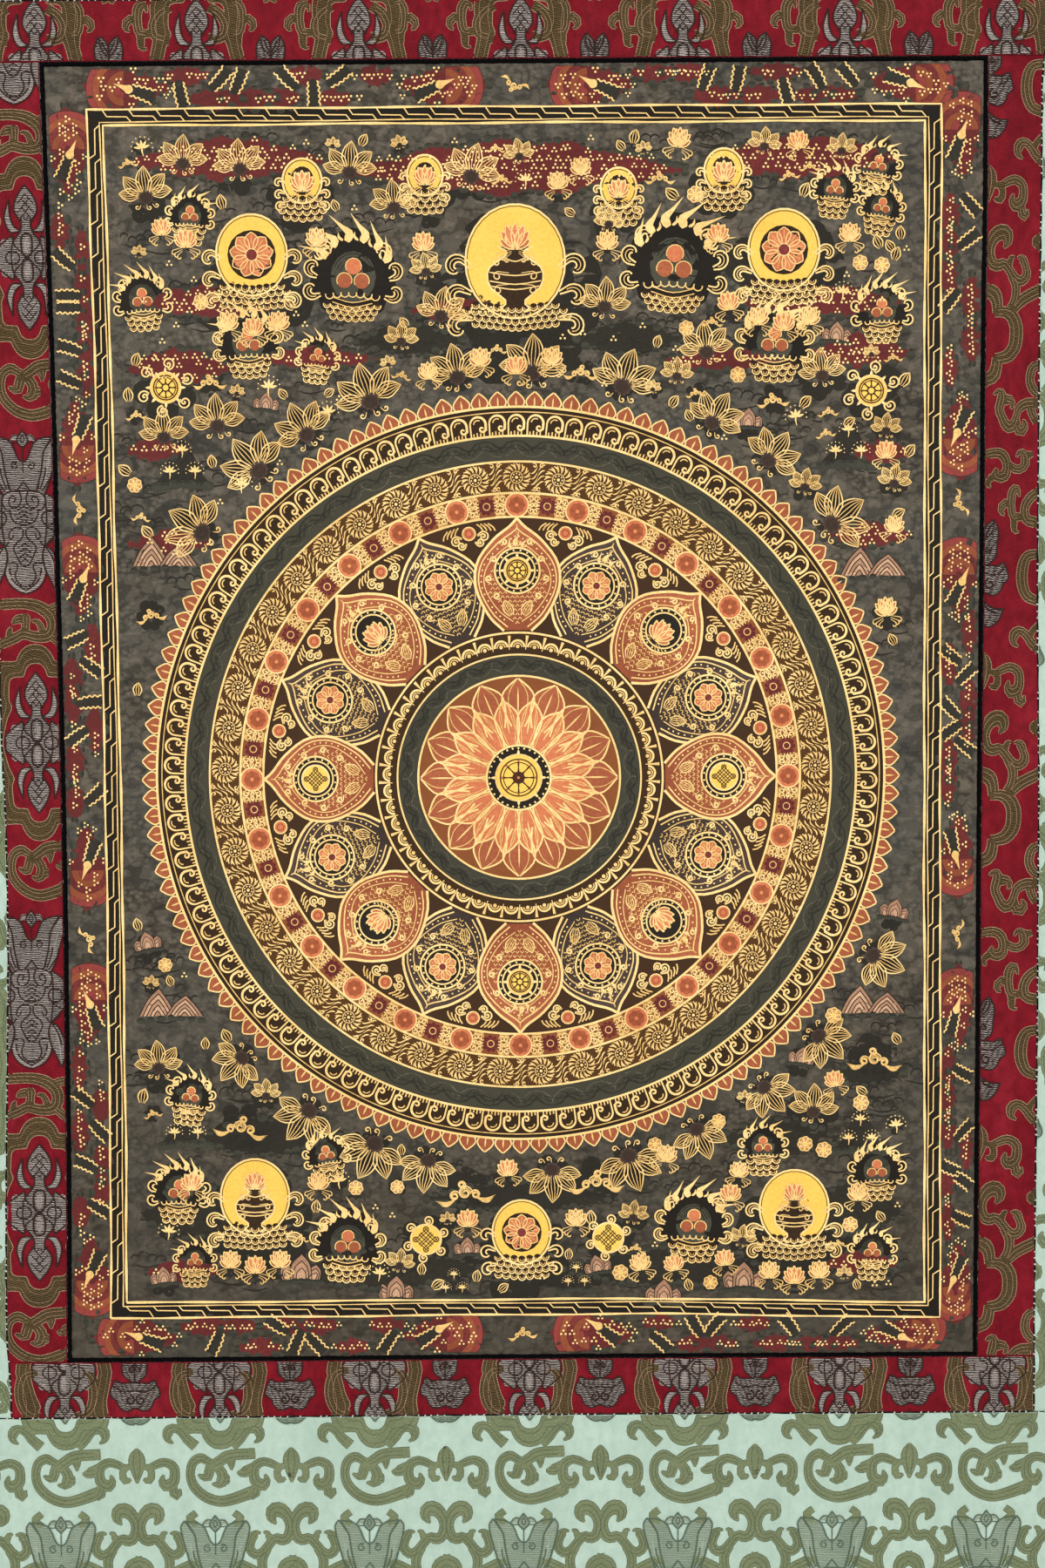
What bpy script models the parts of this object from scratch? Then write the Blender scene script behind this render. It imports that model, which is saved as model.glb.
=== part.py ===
"""Thangka scroll painting: a painted cotton cloth in a sewn brocade mount.

Metres, +Z up. The front faces -Y and the back of the heading lies in the plane y = 0.
The origin is the middle of the top edge, at the back, where the scroll is held.
"""

import math

import bmesh
import bpy
from mathutils import Vector

# Driving sizes of the flat cloth
PICTURE_WIDTH = 0.520
PICTURE_HEIGHT = 0.730
EDGING_WIDTH = 0.0036
BORDER_WIDTH = 0.033
SIDE_WIDTH = 0.075
HEADING_HEIGHT = 0.150
FOOT_HEIGHT = 0.220
SIDE_HEM = 0.012
TOP_HEM = 0.030
SEAM_GAP = 0.0003

CANVAS_THICKNESS = 0.0012
BROCADE_THICKNESS = 0.0015
EDGING_THICKNESS = 0.0030
HEM_THICKNESS = 0.0030
HEM_STEP = 0.002
EDGING_PROUD = 0.0008
EDGING_ROUNDING = 0.0011

MESH_STEP = 0.027

# Levels and widths that follow from them: x to the right of the middle, z down from the top edge
EDGING_HALF_WIDTH = PICTURE_WIDTH / 2 + SEAM_GAP + EDGING_WIDTH
BORDER_HALF_WIDTH = EDGING_HALF_WIDTH + SEAM_GAP + BORDER_WIDTH
SCROLL_HALF_WIDTH = BORDER_HALF_WIDTH + SEAM_GAP + SIDE_WIDTH
BORDER_TOP = -HEADING_HEIGHT - SEAM_GAP
EDGING_TOP = BORDER_TOP - BORDER_WIDTH - SEAM_GAP
PICTURE_TOP = EDGING_TOP - EDGING_WIDTH - SEAM_GAP
PICTURE_BOTTOM = PICTURE_TOP - PICTURE_HEIGHT
EDGING_BOTTOM = PICTURE_BOTTOM - SEAM_GAP - EDGING_WIDTH
BORDER_BOTTOM = EDGING_BOTTOM - SEAM_GAP - BORDER_WIDTH
FOOT_TOP = BORDER_BOTTOM - SEAM_GAP
SCROLL_BOTTOM = FOOT_TOP - FOOT_HEIGHT
PICTURE_MIDDLE = (PICTURE_TOP + PICTURE_BOTTOM) / 2

# How the cloth hangs. Each swell stands forward of the flat cloth, fading over its reach.
SWELLS = (
    # middle x, middle z, reach x, reach z, rise
    dict(x=0.00, z=-0.500, reach_x=0.340, reach_z=0.260, rise=0.0034),  # belly of the painted cloth
    dict(x=0.08, z=-0.255, reach_x=0.420, reach_z=0.050, rise=0.0014),  # upper wave left by rolling
    dict(x=-0.05, z=-0.455, reach_x=0.460, reach_z=0.052, rise=0.0012),  # middle wave left by rolling
    dict(x=0.03, z=-0.730, reach_x=0.480, reach_z=0.060, rise=0.0016),  # wave below the medallion's heart
    dict(x=-0.22, z=-0.900, reach_x=0.150, reach_z=0.080, rise=0.0018),  # lower left slack
    dict(x=0.24, z=-0.840, reach_x=0.120, reach_z=0.110, rise=0.0015),  # lower right slack
    dict(x=-0.34, z=-0.640, reach_x=0.045, reach_z=0.150, rise=0.0024),  # left side panel billows
    dict(x=0.34, z=-0.430, reach_x=0.045, reach_z=0.130, rise=0.0020),  # right side panel billows
    dict(x=0.00, z=-1.120, reach_x=0.260, reach_z=0.060, rise=0.0040),  # foot stands off the wall
    dict(x=-0.37, z=-1.175, reach_x=0.090, reach_z=0.120, rise=0.0085),  # left foot corner curls
    dict(x=0.37, z=-1.175, reach_x=0.080, reach_z=0.100, rise=0.0060),  # right foot corner curls
)
FLAT_TO = -0.040
FREE_FROM = -0.130

# The seams beside the picture draw in between its top and bottom, the left one most
LEFT_DRAW_IN = 0.0036
RIGHT_DRAW_IN = 0.0006

COLOURS = {
    "picture": ((0.16, 0.13, 0.085), 0.60),
    "edging": ((0.006, 0.006, 0.007), 0.85),
    "red_brocade": ((0.21, 0.015, 0.024), 0.55),
    "mint_brocade": ((0.50, 0.62, 0.54), 0.60),
}


def smooth_step(low, high, value):
    t = min(1.0, max(0.0, (value - low) / (high - low)))
    return t * t * (3 - 2 * t)


def forward(x, z):
    """How far the hanging cloth stands forward of the flat one."""
    rise = sum(
        s["rise"] * math.exp(-(((x - s["x"]) / s["reach_x"]) ** 2) - ((z - s["z"]) / s["reach_z"]) ** 2)
        for s in SWELLS
    )
    return rise * (1 - smooth_step(FREE_FROM, FLAT_TO, z))


def drawn_in(x, z):
    """Sideways shift of a point of the flat cloth towards the middle."""
    along = (z - PICTURE_MIDDLE) / (PICTURE_HEIGHT / 2)
    bow = max(0.0, 1 - along * along)
    across = max(-1.0, min(1.0, x / EDGING_HALF_WIDTH))
    most = LEFT_DRAW_IN if x < 0 else RIGHT_DRAW_IN
    return -most * bow * across


def hang(x, z):
    """Where a point of the flat cloth's front lies on the hanging scroll."""
    return Vector((x + drawn_in(x, z), -HEM_THICKNESS - forward(x, z), z))


def levels(low, high, hem_low=0.0, hem_high=0.0):
    """Mesh lines from low to high: even steps, and a close pair where a hem ends."""
    inner_low = low + hem_low
    inner_high = high - hem_high
    found = [low] if hem_low else []
    if hem_low:
        found.append(inner_low - HEM_STEP)
    steps = max(1, round((inner_high - inner_low) / MESH_STEP))
    found += [inner_low + (inner_high - inner_low) * i / steps for i in range(steps + 1)]
    if hem_high:
        found += [inner_high + HEM_STEP, high]
    return found


def cloth(name, look, x_range, z_range, hems=(0, 0, 0, 0), thickness=BROCADE_THICKNESS):
    """One cut cloth as a hanging sheet. hems are widths at the left, right, bottom and top edges."""
    left, right, bottom, top = hems
    columns = levels(*x_range, left, right)
    rows = levels(*z_range, bottom, top)
    bm = bmesh.new()
    bmesh.ops.create_grid(bm, x_segments=len(columns) - 1, y_segments=len(rows) - 1, size=1.0)
    bm.verts.ensure_lookup_table()
    hem_weight = []
    for index, vert in enumerate(bm.verts):
        x = columns[index % len(columns)]
        z = rows[index // len(columns)]
        in_hem = (
            (left and x <= x_range[0] + left - HEM_STEP / 2)
            or (right and x >= x_range[1] - right + HEM_STEP / 2)
            or (bottom and z <= z_range[0] + bottom - HEM_STEP / 2)
            or (top and z >= z_range[1] - top + HEM_STEP / 2)
        )
        hem_weight.append(1.0 if in_hem else thickness / HEM_THICKNESS)
        vert.co = hang(x, z)
    mesh = bpy.data.meshes.new(name)
    bm.to_mesh(mesh)
    bm.free()
    obj = place(name, mesh, look)
    group = obj.vertex_groups.new(name="thickness")
    for index, weight in enumerate(hem_weight):
        group.add([index], weight, "REPLACE")
    solidify = obj.modifiers.new("cloth", "SOLIDIFY")
    solidify.thickness = HEM_THICKNESS
    solidify.offset = -1.0
    solidify.vertex_group = group.name
    return obj


def edging(name, x_range, z_range):
    """One strip of the black edging: a soft rounded strip that stands a little proud of the cloth."""
    columns = levels(*x_range)
    rows = levels(*z_range)
    bm = bmesh.new()
    bmesh.ops.create_grid(bm, x_segments=len(columns) - 1, y_segments=len(rows) - 1, size=1.0)
    bm.verts.ensure_lookup_table()
    for index, vert in enumerate(bm.verts):
        vert.co = hang(columns[index % len(columns)], rows[index // len(columns)])
        vert.co.y -= EDGING_PROUD
    mesh = bpy.data.meshes.new(name)
    bm.to_mesh(mesh)
    bm.free()
    obj = place(name, mesh, "edging")
    solidify = obj.modifiers.new("strip", "SOLIDIFY")
    solidify.thickness = EDGING_THICKNESS
    solidify.offset = -1.0
    rounding = obj.modifiers.new("rounding", "BEVEL")
    rounding.width = EDGING_ROUNDING
    rounding.segments = 2
    rounding.limit_method = "ANGLE"
    rounding.angle_limit = math.radians(60)
    return obj


def place(name, mesh, look):
    """A new object with its own material, in the scroll's collection."""
    obj = bpy.data.objects.new(name, mesh)
    colour, roughness = COLOURS[look]
    material = bpy.data.materials.new(name)
    material.use_nodes = True
    shader = material.node_tree.nodes["Principled BSDF"]
    shader.inputs["Base Color"].default_value = (*colour, 1.0)
    shader.inputs["Roughness"].default_value = roughness
    shader.inputs["Metallic"].default_value = 0.0
    mesh.materials.append(material)
    mesh.shade_smooth()
    bpy.data.collections["thangka_scroll"].objects.link(obj)
    return obj


def make_picture():
    half = PICTURE_WIDTH / 2
    cloth("picture", "picture", (-half, half), (PICTURE_BOTTOM, PICTURE_TOP), thickness=CANVAS_THICKNESS)


def make_edging():
    """Upright strips between the two level ones, which run to the corners."""
    inner = PICTURE_WIDTH / 2 + SEAM_GAP
    outer = EDGING_HALF_WIDTH
    upright = (PICTURE_BOTTOM, PICTURE_TOP)
    edging("edging_left", (-outer, -inner), upright)
    edging("edging_right", (inner, outer), upright)
    edging("edging_top", (-outer, outer), (PICTURE_TOP + SEAM_GAP, EDGING_TOP))
    edging("edging_bottom", (-outer, outer), (EDGING_BOTTOM, PICTURE_BOTTOM - SEAM_GAP))


def make_border():
    """The red brocade: uprights as long as the edged picture, level strips across them."""
    inner = EDGING_HALF_WIDTH + SEAM_GAP
    outer = BORDER_HALF_WIDTH
    upright = (EDGING_BOTTOM, EDGING_TOP)
    cloth("border_left", "red_brocade", (-outer, -inner), upright)
    cloth("border_right", "red_brocade", (inner, outer), upright)
    cloth("border_top", "red_brocade", (-outer, outer), (EDGING_TOP + SEAM_GAP, BORDER_TOP))
    cloth("border_bottom", "red_brocade", (-outer, outer), (BORDER_BOTTOM, EDGING_BOTTOM - SEAM_GAP))


def make_mount_cloths():
    """The pale outer brocade: two side panels between the heading and the foot, hemmed outside."""
    inner = BORDER_HALF_WIDTH + SEAM_GAP
    outer = SCROLL_HALF_WIDTH
    upright = (BORDER_BOTTOM, BORDER_TOP)
    cloth("side_left", "mint_brocade", (-outer, -inner), upright, hems=(SIDE_HEM, 0, 0, 0))
    cloth("side_right", "mint_brocade", (inner, outer), upright, hems=(0, SIDE_HEM, 0, 0))
    cloth(
        "heading",
        "mint_brocade",
        (-outer, outer),
        (BORDER_TOP + SEAM_GAP, 0.0),
        hems=(SIDE_HEM, SIDE_HEM, 0, TOP_HEM),
    )
    cloth(
        "foot",
        "mint_brocade",
        (-outer, outer),
        (SCROLL_BOTTOM, FOOT_TOP),
        hems=(SIDE_HEM, SIDE_HEM, SIDE_HEM, 0),
    )


def main():
    for obj in list(bpy.data.objects):
        bpy.data.objects.remove(obj)
    collection = bpy.data.collections.new("thangka_scroll")
    bpy.context.scene.collection.children.link(collection)
    make_picture()
    make_edging()
    make_border()
    make_mount_cloths()


main()
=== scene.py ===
from math import ceil, copysign, cos, hypot, pi, radians, sin, tan
import bpy
import numpy as np
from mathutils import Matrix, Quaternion, Vector


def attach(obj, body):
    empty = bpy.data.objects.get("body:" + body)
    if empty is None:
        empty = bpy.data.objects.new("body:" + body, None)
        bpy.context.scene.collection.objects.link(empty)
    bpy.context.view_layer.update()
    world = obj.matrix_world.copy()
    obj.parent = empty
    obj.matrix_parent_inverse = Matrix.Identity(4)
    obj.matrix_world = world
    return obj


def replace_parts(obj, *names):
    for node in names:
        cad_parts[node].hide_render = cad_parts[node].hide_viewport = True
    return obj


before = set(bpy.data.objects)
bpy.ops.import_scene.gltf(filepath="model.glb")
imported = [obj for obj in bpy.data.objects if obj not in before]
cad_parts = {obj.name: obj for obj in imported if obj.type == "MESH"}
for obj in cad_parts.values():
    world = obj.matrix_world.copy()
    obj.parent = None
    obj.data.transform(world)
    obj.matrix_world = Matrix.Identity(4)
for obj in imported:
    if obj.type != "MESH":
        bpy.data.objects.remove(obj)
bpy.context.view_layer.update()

mm = 0.001

# the cut cloth and how it hangs, in millimetres: x to the right of the middle, z up from the top edge
cut = {
    "pictureWidth": 520, "pictureHeight": 730, "edging": 3.6, "border": 33, "side": 75,
    "heading": 150, "foot": 220, "sideHem": 12, "topHem": 30, "gap": 0.3,
    "canvas": 1.2, "brocade": 1.5, "hemThick": 3.0,
    "under": 1.4,                                        # how far the picture lies under its edging
    "hemStep": 0.8, "foldDrop": 0.7, "foldReach": 0.8,   # hems turn over softly at their folds
}
pictureHalf = cut["pictureWidth"] / 2
edgingHalf = pictureHalf + cut["gap"] + cut["edging"]
borderHalf = edgingHalf + cut["gap"] + cut["border"]
scrollHalf = borderHalf + cut["gap"] + cut["side"]
borderTop = -cut["heading"] - cut["gap"]
edgingTop = borderTop - cut["border"] - cut["gap"]
pictureTop = edgingTop - cut["edging"] - cut["gap"]
pictureBottom = pictureTop - cut["pictureHeight"]
edgingBottom = pictureBottom - cut["gap"] - cut["edging"]
borderBottom = edgingBottom - cut["gap"] - cut["border"]
footTop = borderBottom - cut["gap"]
scrollBottom = footTop - cut["foot"]
pictureMiddle = (pictureTop + pictureBottom) / 2

hanging = {
    # middle x, middle z, reach x, reach z, rise
    "swells": (
        (0, -500, 340, 260, 3.4), (80, -255, 420, 50, 1.4), (-50, -455, 460, 52, 1.2),
        (30, -730, 480, 60, 1.6), (-220, -900, 150, 80, 1.8), (240, -840, 120, 110, 1.5),
        (-340, -640, 45, 150, 2.4), (340, -430, 45, 130, 2.0), (0, -1120, 260, 60, 4.0),
        (-370, -1175, 90, 120, 8.5), (370, -1175, 80, 100, 6.0),
    ),
    "flatTo": -40, "freeFrom": -130,
    "leftDrawIn": 3.6, "rightDrawIn": 0.6,
    # how far the sewn lines beside the red cloth stand off, then each shift and the heights it comes between
    "leftSeam": (1.8, (-3.6, -850, -660), (1.4, -610, -560)), "rightSeam": (-0.5, (-2.8, -620, -450)),
    "seamFrom": (-940, -900), "seamTo": (-200, -160), "seamFades": 370,
    "puckerRise": 0.2, "puckerReach": 9.0,     # small pleats that the stitching pulls in
    "grooveDepth": 0.55, "grooveReach": 1.3,    # each cloth turns down into its seam
    "rollWaves": 0.13,                          # short waves left by rolling the scroll
}


def smoothStep(low, high, value):
    t = np.clip((value - low) / (high - low), 0, 1)
    return t * t * (3 - 2 * t)


# distance of a flat point to the nearest seam beside and across the border
def seamDistance(x, z):
    upright = np.minimum(np.abs(np.abs(x) - borderHalf), np.abs(np.abs(x) - edgingHalf))
    upright = np.where((z < borderTop + 1) & (z > borderBottom - 1), upright, 99.0)
    level = np.minimum.reduce([np.abs(z - borderTop), np.abs(z - borderBottom), np.abs(z - edgingTop),
        np.abs(z - edgingBottom)])
    level = np.where(np.abs(x) < borderHalf + 1, level, 99.0)
    sideLevel = np.minimum(np.abs(z - borderTop), np.abs(z - borderBottom))
    level = np.where(np.abs(x) >= borderHalf + 1, sideLevel, level)
    return np.minimum(upright, level)


# how far the front stands forward of the flat cloth
def forward(x, z):
    rise = np.zeros(np.broadcast(x, z).shape)
    for sx, sz, rx, rz, high in hanging["swells"]:
        rise = rise + high * np.exp(-((x - sx) / rx) ** 2 - ((z - sz) / rz) ** 2)
    away = seamDistance(x, z)
    pleat = np.sin(z / 3.1 + 1.7 * np.sin(z / 23)) * np.sin(z / 11.7 + 0.8) + np.sin(x / 3.4 + np.sin(x / 19))
    rise = rise + hanging["puckerRise"] * pleat * np.exp(-away / hanging["puckerReach"])
    rise = rise - hanging["grooveDepth"] * np.exp(-(away / hanging["grooveReach"]) ** 2)
    roll = np.sin(z / 5.3 + 2.2 * np.sin(z / 61) + x / 170) * np.sin(z / 37 + x / 240)
    rise = rise + hanging["rollWaves"] * roll * (np.abs(x) < edgingHalf)
    return rise * (1 - smoothStep(hanging["freeFrom"], hanging["flatTo"], z))


def seamWander(side, z):
    total, *shifts = hanging[side]
    for by, low, high in shifts:
        total = total + by * smoothStep(low, high, z)
    return total


# flat points in mm to where they hang, in metres; lift stands them off the cloth
def onCloth(points, lift=0.0):
    x, z = points[:, 0], points[:, 1]
    along = (z - pictureMiddle) / (cut["pictureHeight"] / 2)
    bow = np.clip(1 - along ** 2, 0, None)
    most = np.where(x < 0, hanging["leftDrawIn"], hanging["rightDrawIn"])
    wander = np.where(x < 0, seamWander("leftSeam", z), seamWander("rightSeam", z))
    wander = wander * smoothStep(edgingHalf + 4, borderHalf, np.abs(x))
    wander = wander * (1 - smoothStep(borderHalf + 3, hanging["seamFades"], np.abs(x)))
    wander = wander * smoothStep(*hanging["seamFrom"], z) * (1 - smoothStep(*hanging["seamTo"], z))
    shifted = x - most * bow * np.clip(x / edgingHalf, -1, 1) + np.sign(x) * wander
    y = -cut["hemThick"] - forward(x, z) - lift
    return np.stack([shifted, y, z], axis=1) * mm


# what a material is made with; each helper adds to the material in hand
inHand = {}


def srgb(r, g, b):
    parts = [c / 255 for c in (r, g, b)]
    return tuple(p / 12.92 if p <= 0.04045 else ((p + 0.055) / 1.055) ** 2.4 for p in parts) + (1.0,)


def newMaterial(name, roughness=0.6, sheen=0.0, sheenTint=(1, 1, 1, 1), specular=0.12):
    material = bpy.data.materials.new(name)
    material.use_nodes = True
    inHand.update(tree=material.node_tree, shader=material.node_tree.nodes["Principled BSDF"])
    for socket, value in (("Roughness", roughness), ("Sheen Weight", sheen), ("Sheen Tint", sheenTint),
            ("Specular IOR Level", specular)):
        inHand["shader"].inputs[socket].default_value = value
    return material


# adds a node: its inputs by name or number, the output that is wanted, its own settings
def node(kind, inputs, output=0, **settings):
    made = inHand["tree"].nodes.new("ShaderNode" + kind)
    for key, value in settings.items():
        setattr(made, key, value)
    for socket, value in inputs.items():
        if isinstance(value, bpy.types.NodeSocket):
            inHand["tree"].links.new(value, made.inputs[socket])
        elif value is not None:
            made.inputs[socket].default_value = value
    return made.outputs[output]


def shade(socket, value):
    inHand["tree"].links.new(value, inHand["shader"].inputs[socket])


def maths(operation, a, b=None, c=None, clamp=False):
    return node("Math", {0: a, 1: b, 2: c}, operation=operation, use_clamp=clamp)


def times(value, by, plus=0.0, clamp=False):
    return maths("MULTIPLY_ADD", value, by, plus, clamp)


def mixColour(factor, a, b):
    return node("Mix", {0: factor, 6: a, 7: b}, 2, data_type="RGBA")


def ramp(factor, stops, hard=False):
    colour = node("ValToRGB", {0: factor})
    scale = colour.node.color_ramp
    scale.interpolation = "CONSTANT" if hard else "LINEAR"
    while len(scale.elements) < len(stops):
        scale.elements.new(0.5)
    for element, (position, colourThere) in zip(scale.elements, stops):
        element.position, element.color = position, colourThere
    return colour


def attribute(name, output="Fac"):
    return node("Attribute", {}, output, attribute_name=name)


# the flat cloth coordinate, in mm, scaled and turned
def flatPlace(scale=(1, 1), turn=0.0, shift=(0, 0, 0)):
    return node("Mapping", {"Vector": attribute("flat", "Vector"), "Scale": (*scale, 1),
        "Rotation": (0, 0, turn), "Location": shift})


def noise(scale, detail=2.0, rough=0.5, distortion=0.0, turn=0.0, shift=(0, 0, 0), output="Fac"):
    return node("TexNoise", {"Vector": flatPlace(scale, turn, shift), "Scale": 1.0, "Detail": detail,
        "Roughness": rough, "Distortion": distortion}, output)


# ribs of a pitch in mm; 0.5/pi turns a wave texture's scale into cycles
def ribs(pitch, direction, wander, detail=1, detailScale=0.3, scale=(1, 1), turn=0.0):
    return node("TexWave", {"Vector": flatPlace(scale, turn), "Scale": 1 / (pitch * 3.1831),
        "Distortion": wander, "Detail": detail, "Detail Scale": detailScale}, "Fac",
        bands_direction=direction)


# one over one crossing threads
def plainWeave(pitch, wander):
    return ribs(pitch, "X", wander), ribs(pitch, "Y", wander)


def bump(height, distance, strength=1.0, after=None):
    normal = node("Bump", {"Distance": distance, "Strength": strength, "Height": height, "Normal": after})
    shade("Normal", normal)
    return normal


def finishMesh(name, points, faces, uv, flat, tones=None, materials=(), faceMaterial=None):
    mesh = bpy.data.meshes.new(name)
    mesh.from_pydata(points.tolist(), [], faces.tolist() if hasattr(faces, "tolist") else faces)
    loops = np.empty(len(mesh.loops), np.int32)
    mesh.loops.foreach_get("vertex_index", loops)
    layer = mesh.uv_layers.new(name="OFBake")
    layer.data.foreach_set("uv", uv[loops].astype(np.float32).ravel())
    spread = mesh.attributes.new("flat", "FLOAT_VECTOR", "POINT")
    wide = np.zeros((len(points), 3), np.float32)
    wide[:, :2] = flat
    spread.data.foreach_set("vector", wide.ravel())
    if tones is not None:
        mesh.attributes.new("tone", "FLOAT", "POINT").data.foreach_set("value", tones.astype(np.float32))
    for material in materials:
        mesh.materials.append(material)
    if faceMaterial is not None:
        mesh.polygons.foreach_set("material_index", faceMaterial.astype(np.int32))
    mesh.shade_smooth()
    piece = bpy.data.objects.new(name, mesh)
    bpy.context.scene.collection.objects.link(piece)
    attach(piece, "root")
    return piece


def lines(low, high, step, fine=(0.5, 1.2, 2.4, 4.5)):
    inner = np.linspace(low + fine[-1], high - fine[-1], max(2, round((high - low - 2 * fine[-1]) / step)
        + 1))
    edges = np.array(fine[:-1])
    return np.concatenate([[low], low + edges, inner, high - edges[::-1], [high]])


# a closed sheet: front, back and rim; hems are widths at left, right, bottom and top
def layCloth(name, xRange, zRange, step, front, back, thick, hems):
    xs, zs = lines(*xRange, step), lines(*zRange, step)
    for index, (hem, edge) in enumerate(zip(hems, (*xRange, *zRange))):
        if hem:   # two lines let the back step down from its hem
            way = -1 if index % 2 else 1
            extra = [edge + way * hem, edge + way * (hem + cut["hemStep"])]
            if index < 2:
                xs = np.sort(np.append(xs, extra))
            else:
                zs = np.sort(np.append(zs, extra))
    flat = np.stack(np.meshgrid(xs, zs), axis=-1).reshape(-1, 2)
    x, z = flat.T
    inHem, toFold = np.zeros(len(flat), bool), np.full(len(flat), 9.0)
    for hem, distance in zip(hems, (x - xRange[0], xRange[1] - x, z - zRange[0], zRange[1] - z)):
        if hem:
            inHem |= distance <= hem + 0.01
            toFold = np.minimum(toFold, distance)
    outer, inner = onCloth(flat), onCloth(flat)
    outer[:, 1] += mm * cut["foldDrop"] * np.exp(-(toFold / cut["foldReach"]) ** 2)
    inner[:, 1] += np.where(inHem, cut["hemThick"], thick) * mm
    count, columns, rows = len(flat), len(xs), len(zs)
    corner = (np.arange(rows - 1)[:, None] * columns + np.arange(columns - 1)[None, :]).ravel()
    face = np.stack([corner, corner + 1, corner + columns + 1, corner + columns], axis=1)
    rim = np.concatenate([np.arange(columns), np.arange(1, rows) * columns + columns - 1,
        np.arange(columns - 2, -1, -1) + (rows - 1) * columns, np.arange(rows - 2, 0, -1) * columns])
    following = np.roll(rim, -1)
    edge = np.stack([rim, rim + count, following + count, following], axis=1)
    faces = np.concatenate([face, face[:, ::-1] + count, edge])
    kind = np.zeros(len(faces), int)
    kind[len(face):2 * len(face)] = 1
    size = max(xRange[1] - xRange[0], zRange[1] - zRange[0])
    place = (flat - [xRange[0], zRange[0]]) / size
    wide = (xRange[1] - xRange[0]) / size
    # on the flat plane a narrow cloth has its back beside its front, a wide one a small back in the corner
    if wide < 0.5:
        uv = np.concatenate([place * 0.98 + 0.01, place * 0.98 + [wide + 0.02, 0.01]])
    else:
        uv = np.concatenate([place * [0.76, 0.98] + 0.01, place * [0.2, 0.3] + [0.79, 0.01]])
    piece = finishMesh(name, np.concatenate([outer, inner]), faces, uv, np.concatenate([flat, flat]),
        materials=(front, back), faceMaterial=kind)
    piece.data.set_sharp_from_angle(angle=radians(50))
    return piece


# camera, light and floor
view = {
    "target": (0.0022, 0.0, -0.5875), "distance": 0.994, "elevation": 3.35, "roll": -0.38,
    "fieldOfView": 48.5,
    "floorBelow": 0.3, "world": 0.42, "floorHalf": 6, "worldColour": (1.0, 0.985, 0.96, 1),
    "lampColour": (1.0, 0.975, 0.94), "lampsLookAt": (0, 0, -0.6), "floorColour": (0.78, 0.77, 0.75, 1),
    "lamps": (  # x, y, z, size, watts
        (-1.5, -2.0, 0.5, 1.8, 34), (1.6, -2.1, 0.2, 1.8, 30), (0.0, -2.4, -0.9, 1.6, 16),
        (0.4, 2.2, 0.6, 1.8, 26),
    ),
}


def makeCamera():
    data = bpy.data.cameras.new("camera")
    data.sensor_width = 36
    data.lens = 18 / tan(radians(view["fieldOfView"] / 2))
    data.clip_start = 0.02
    camera = bpy.data.objects.new("camera", data)
    bpy.context.scene.collection.objects.link(camera)
    rise = radians(view["elevation"])
    back = Vector((0, -cos(rise), sin(rise)))
    camera.location = Vector(view["target"]) + back * view["distance"]
    camera.rotation_mode = "QUATERNION"
    lean = Quaternion((0, 0, 1), radians(view["roll"]))
    camera.rotation_quaternion = (-back).to_track_quat("-Z", "Y") @ lean
    bpy.context.scene.camera = camera


def makeStage():
    scene = bpy.context.scene
    scene.view_settings.view_transform = "Standard"
    world = bpy.data.worlds.new("studio")
    scene.world = world
    world.use_nodes = True
    light = world.node_tree.nodes["Background"]
    light.inputs[0].default_value = view["worldColour"]
    light.inputs[1].default_value = view["world"]
    for index, (x, y, z, size, watts) in enumerate(view["lamps"]):
        lamp = bpy.data.lights.new(f"softbox_{index}", "AREA")
        lamp.size, lamp.energy, lamp.color = size, watts, view["lampColour"]
        holder = bpy.data.objects.new(lamp.name, lamp)
        holder.location = (x, y, z)
        look = Vector(view["lampsLookAt"]) - holder.location
        holder.rotation_euler = look.to_track_quat("-Z", "Y").to_euler()
        scene.collection.objects.link(holder)
    low, half = scrollBottom * mm - view["floorBelow"], view["floorHalf"]
    floorMesh = bpy.data.meshes.new("floor")
    floorMesh.from_pydata([(x * half, y * half, low) for x, y in ((-1, -1), (1, -1), (1, 1), (-1, 1))], [],
        [(0, 1, 2, 3)])
    floor = bpy.data.objects.new("floor", floorMesh)
    scene.collection.objects.link(floor)
    floorMesh.materials.append(newMaterial("paleFloor", roughness=0.8))
    inHand["shader"].inputs["Base Color"].default_value = view["floorColour"]


makeCamera()
makeStage()
print("camera, light and floor are set")


# drawing tools: figures are drawn flat, in mm, and gathered by paint or thread
def gather(sketch, paint, points, triangles, tone, lifts):
    points = np.asarray(points, float)
    tones = np.broadcast_to(np.asarray(tone, float), len(points)).copy()
    heights = np.broadcast_to(np.asarray(lifts, float), len(points)).copy()
    sketch.setdefault(paint, []).append((points, np.asarray(triangles, int), tones, heights))


def smooth(points, count):
    p = np.asarray(points, float)
    p = np.vstack([2 * p[0] - p[1], p, 2 * p[-1] - p[-2]])
    spans = len(p) - 3
    t = np.linspace(0, spans, count)
    i = np.clip(t.astype(int), 0, spans - 1)
    f = (t - i)[:, None]
    a, b, c, d = p[i], p[i + 1], p[i + 2], p[i + 3]
    return 0.5 * (2 * b + (c - a) * f + (2 * a - 5 * b + 4 * c - d) * f ** 2 + (3 * b - a - 3 * c + d)
        * f ** 3)


def straight(points, step):
    p = np.asarray(points, float)
    parts = [p[:1]]
    for a, b in zip(p[:-1], p[1:]):
        steps = max(1, int(ceil(np.hypot(*(b - a)) / step)))
        parts.append(a + (b - a) * np.linspace(0, 1, steps + 1)[1:, None])
    return np.vstack(parts)


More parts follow.
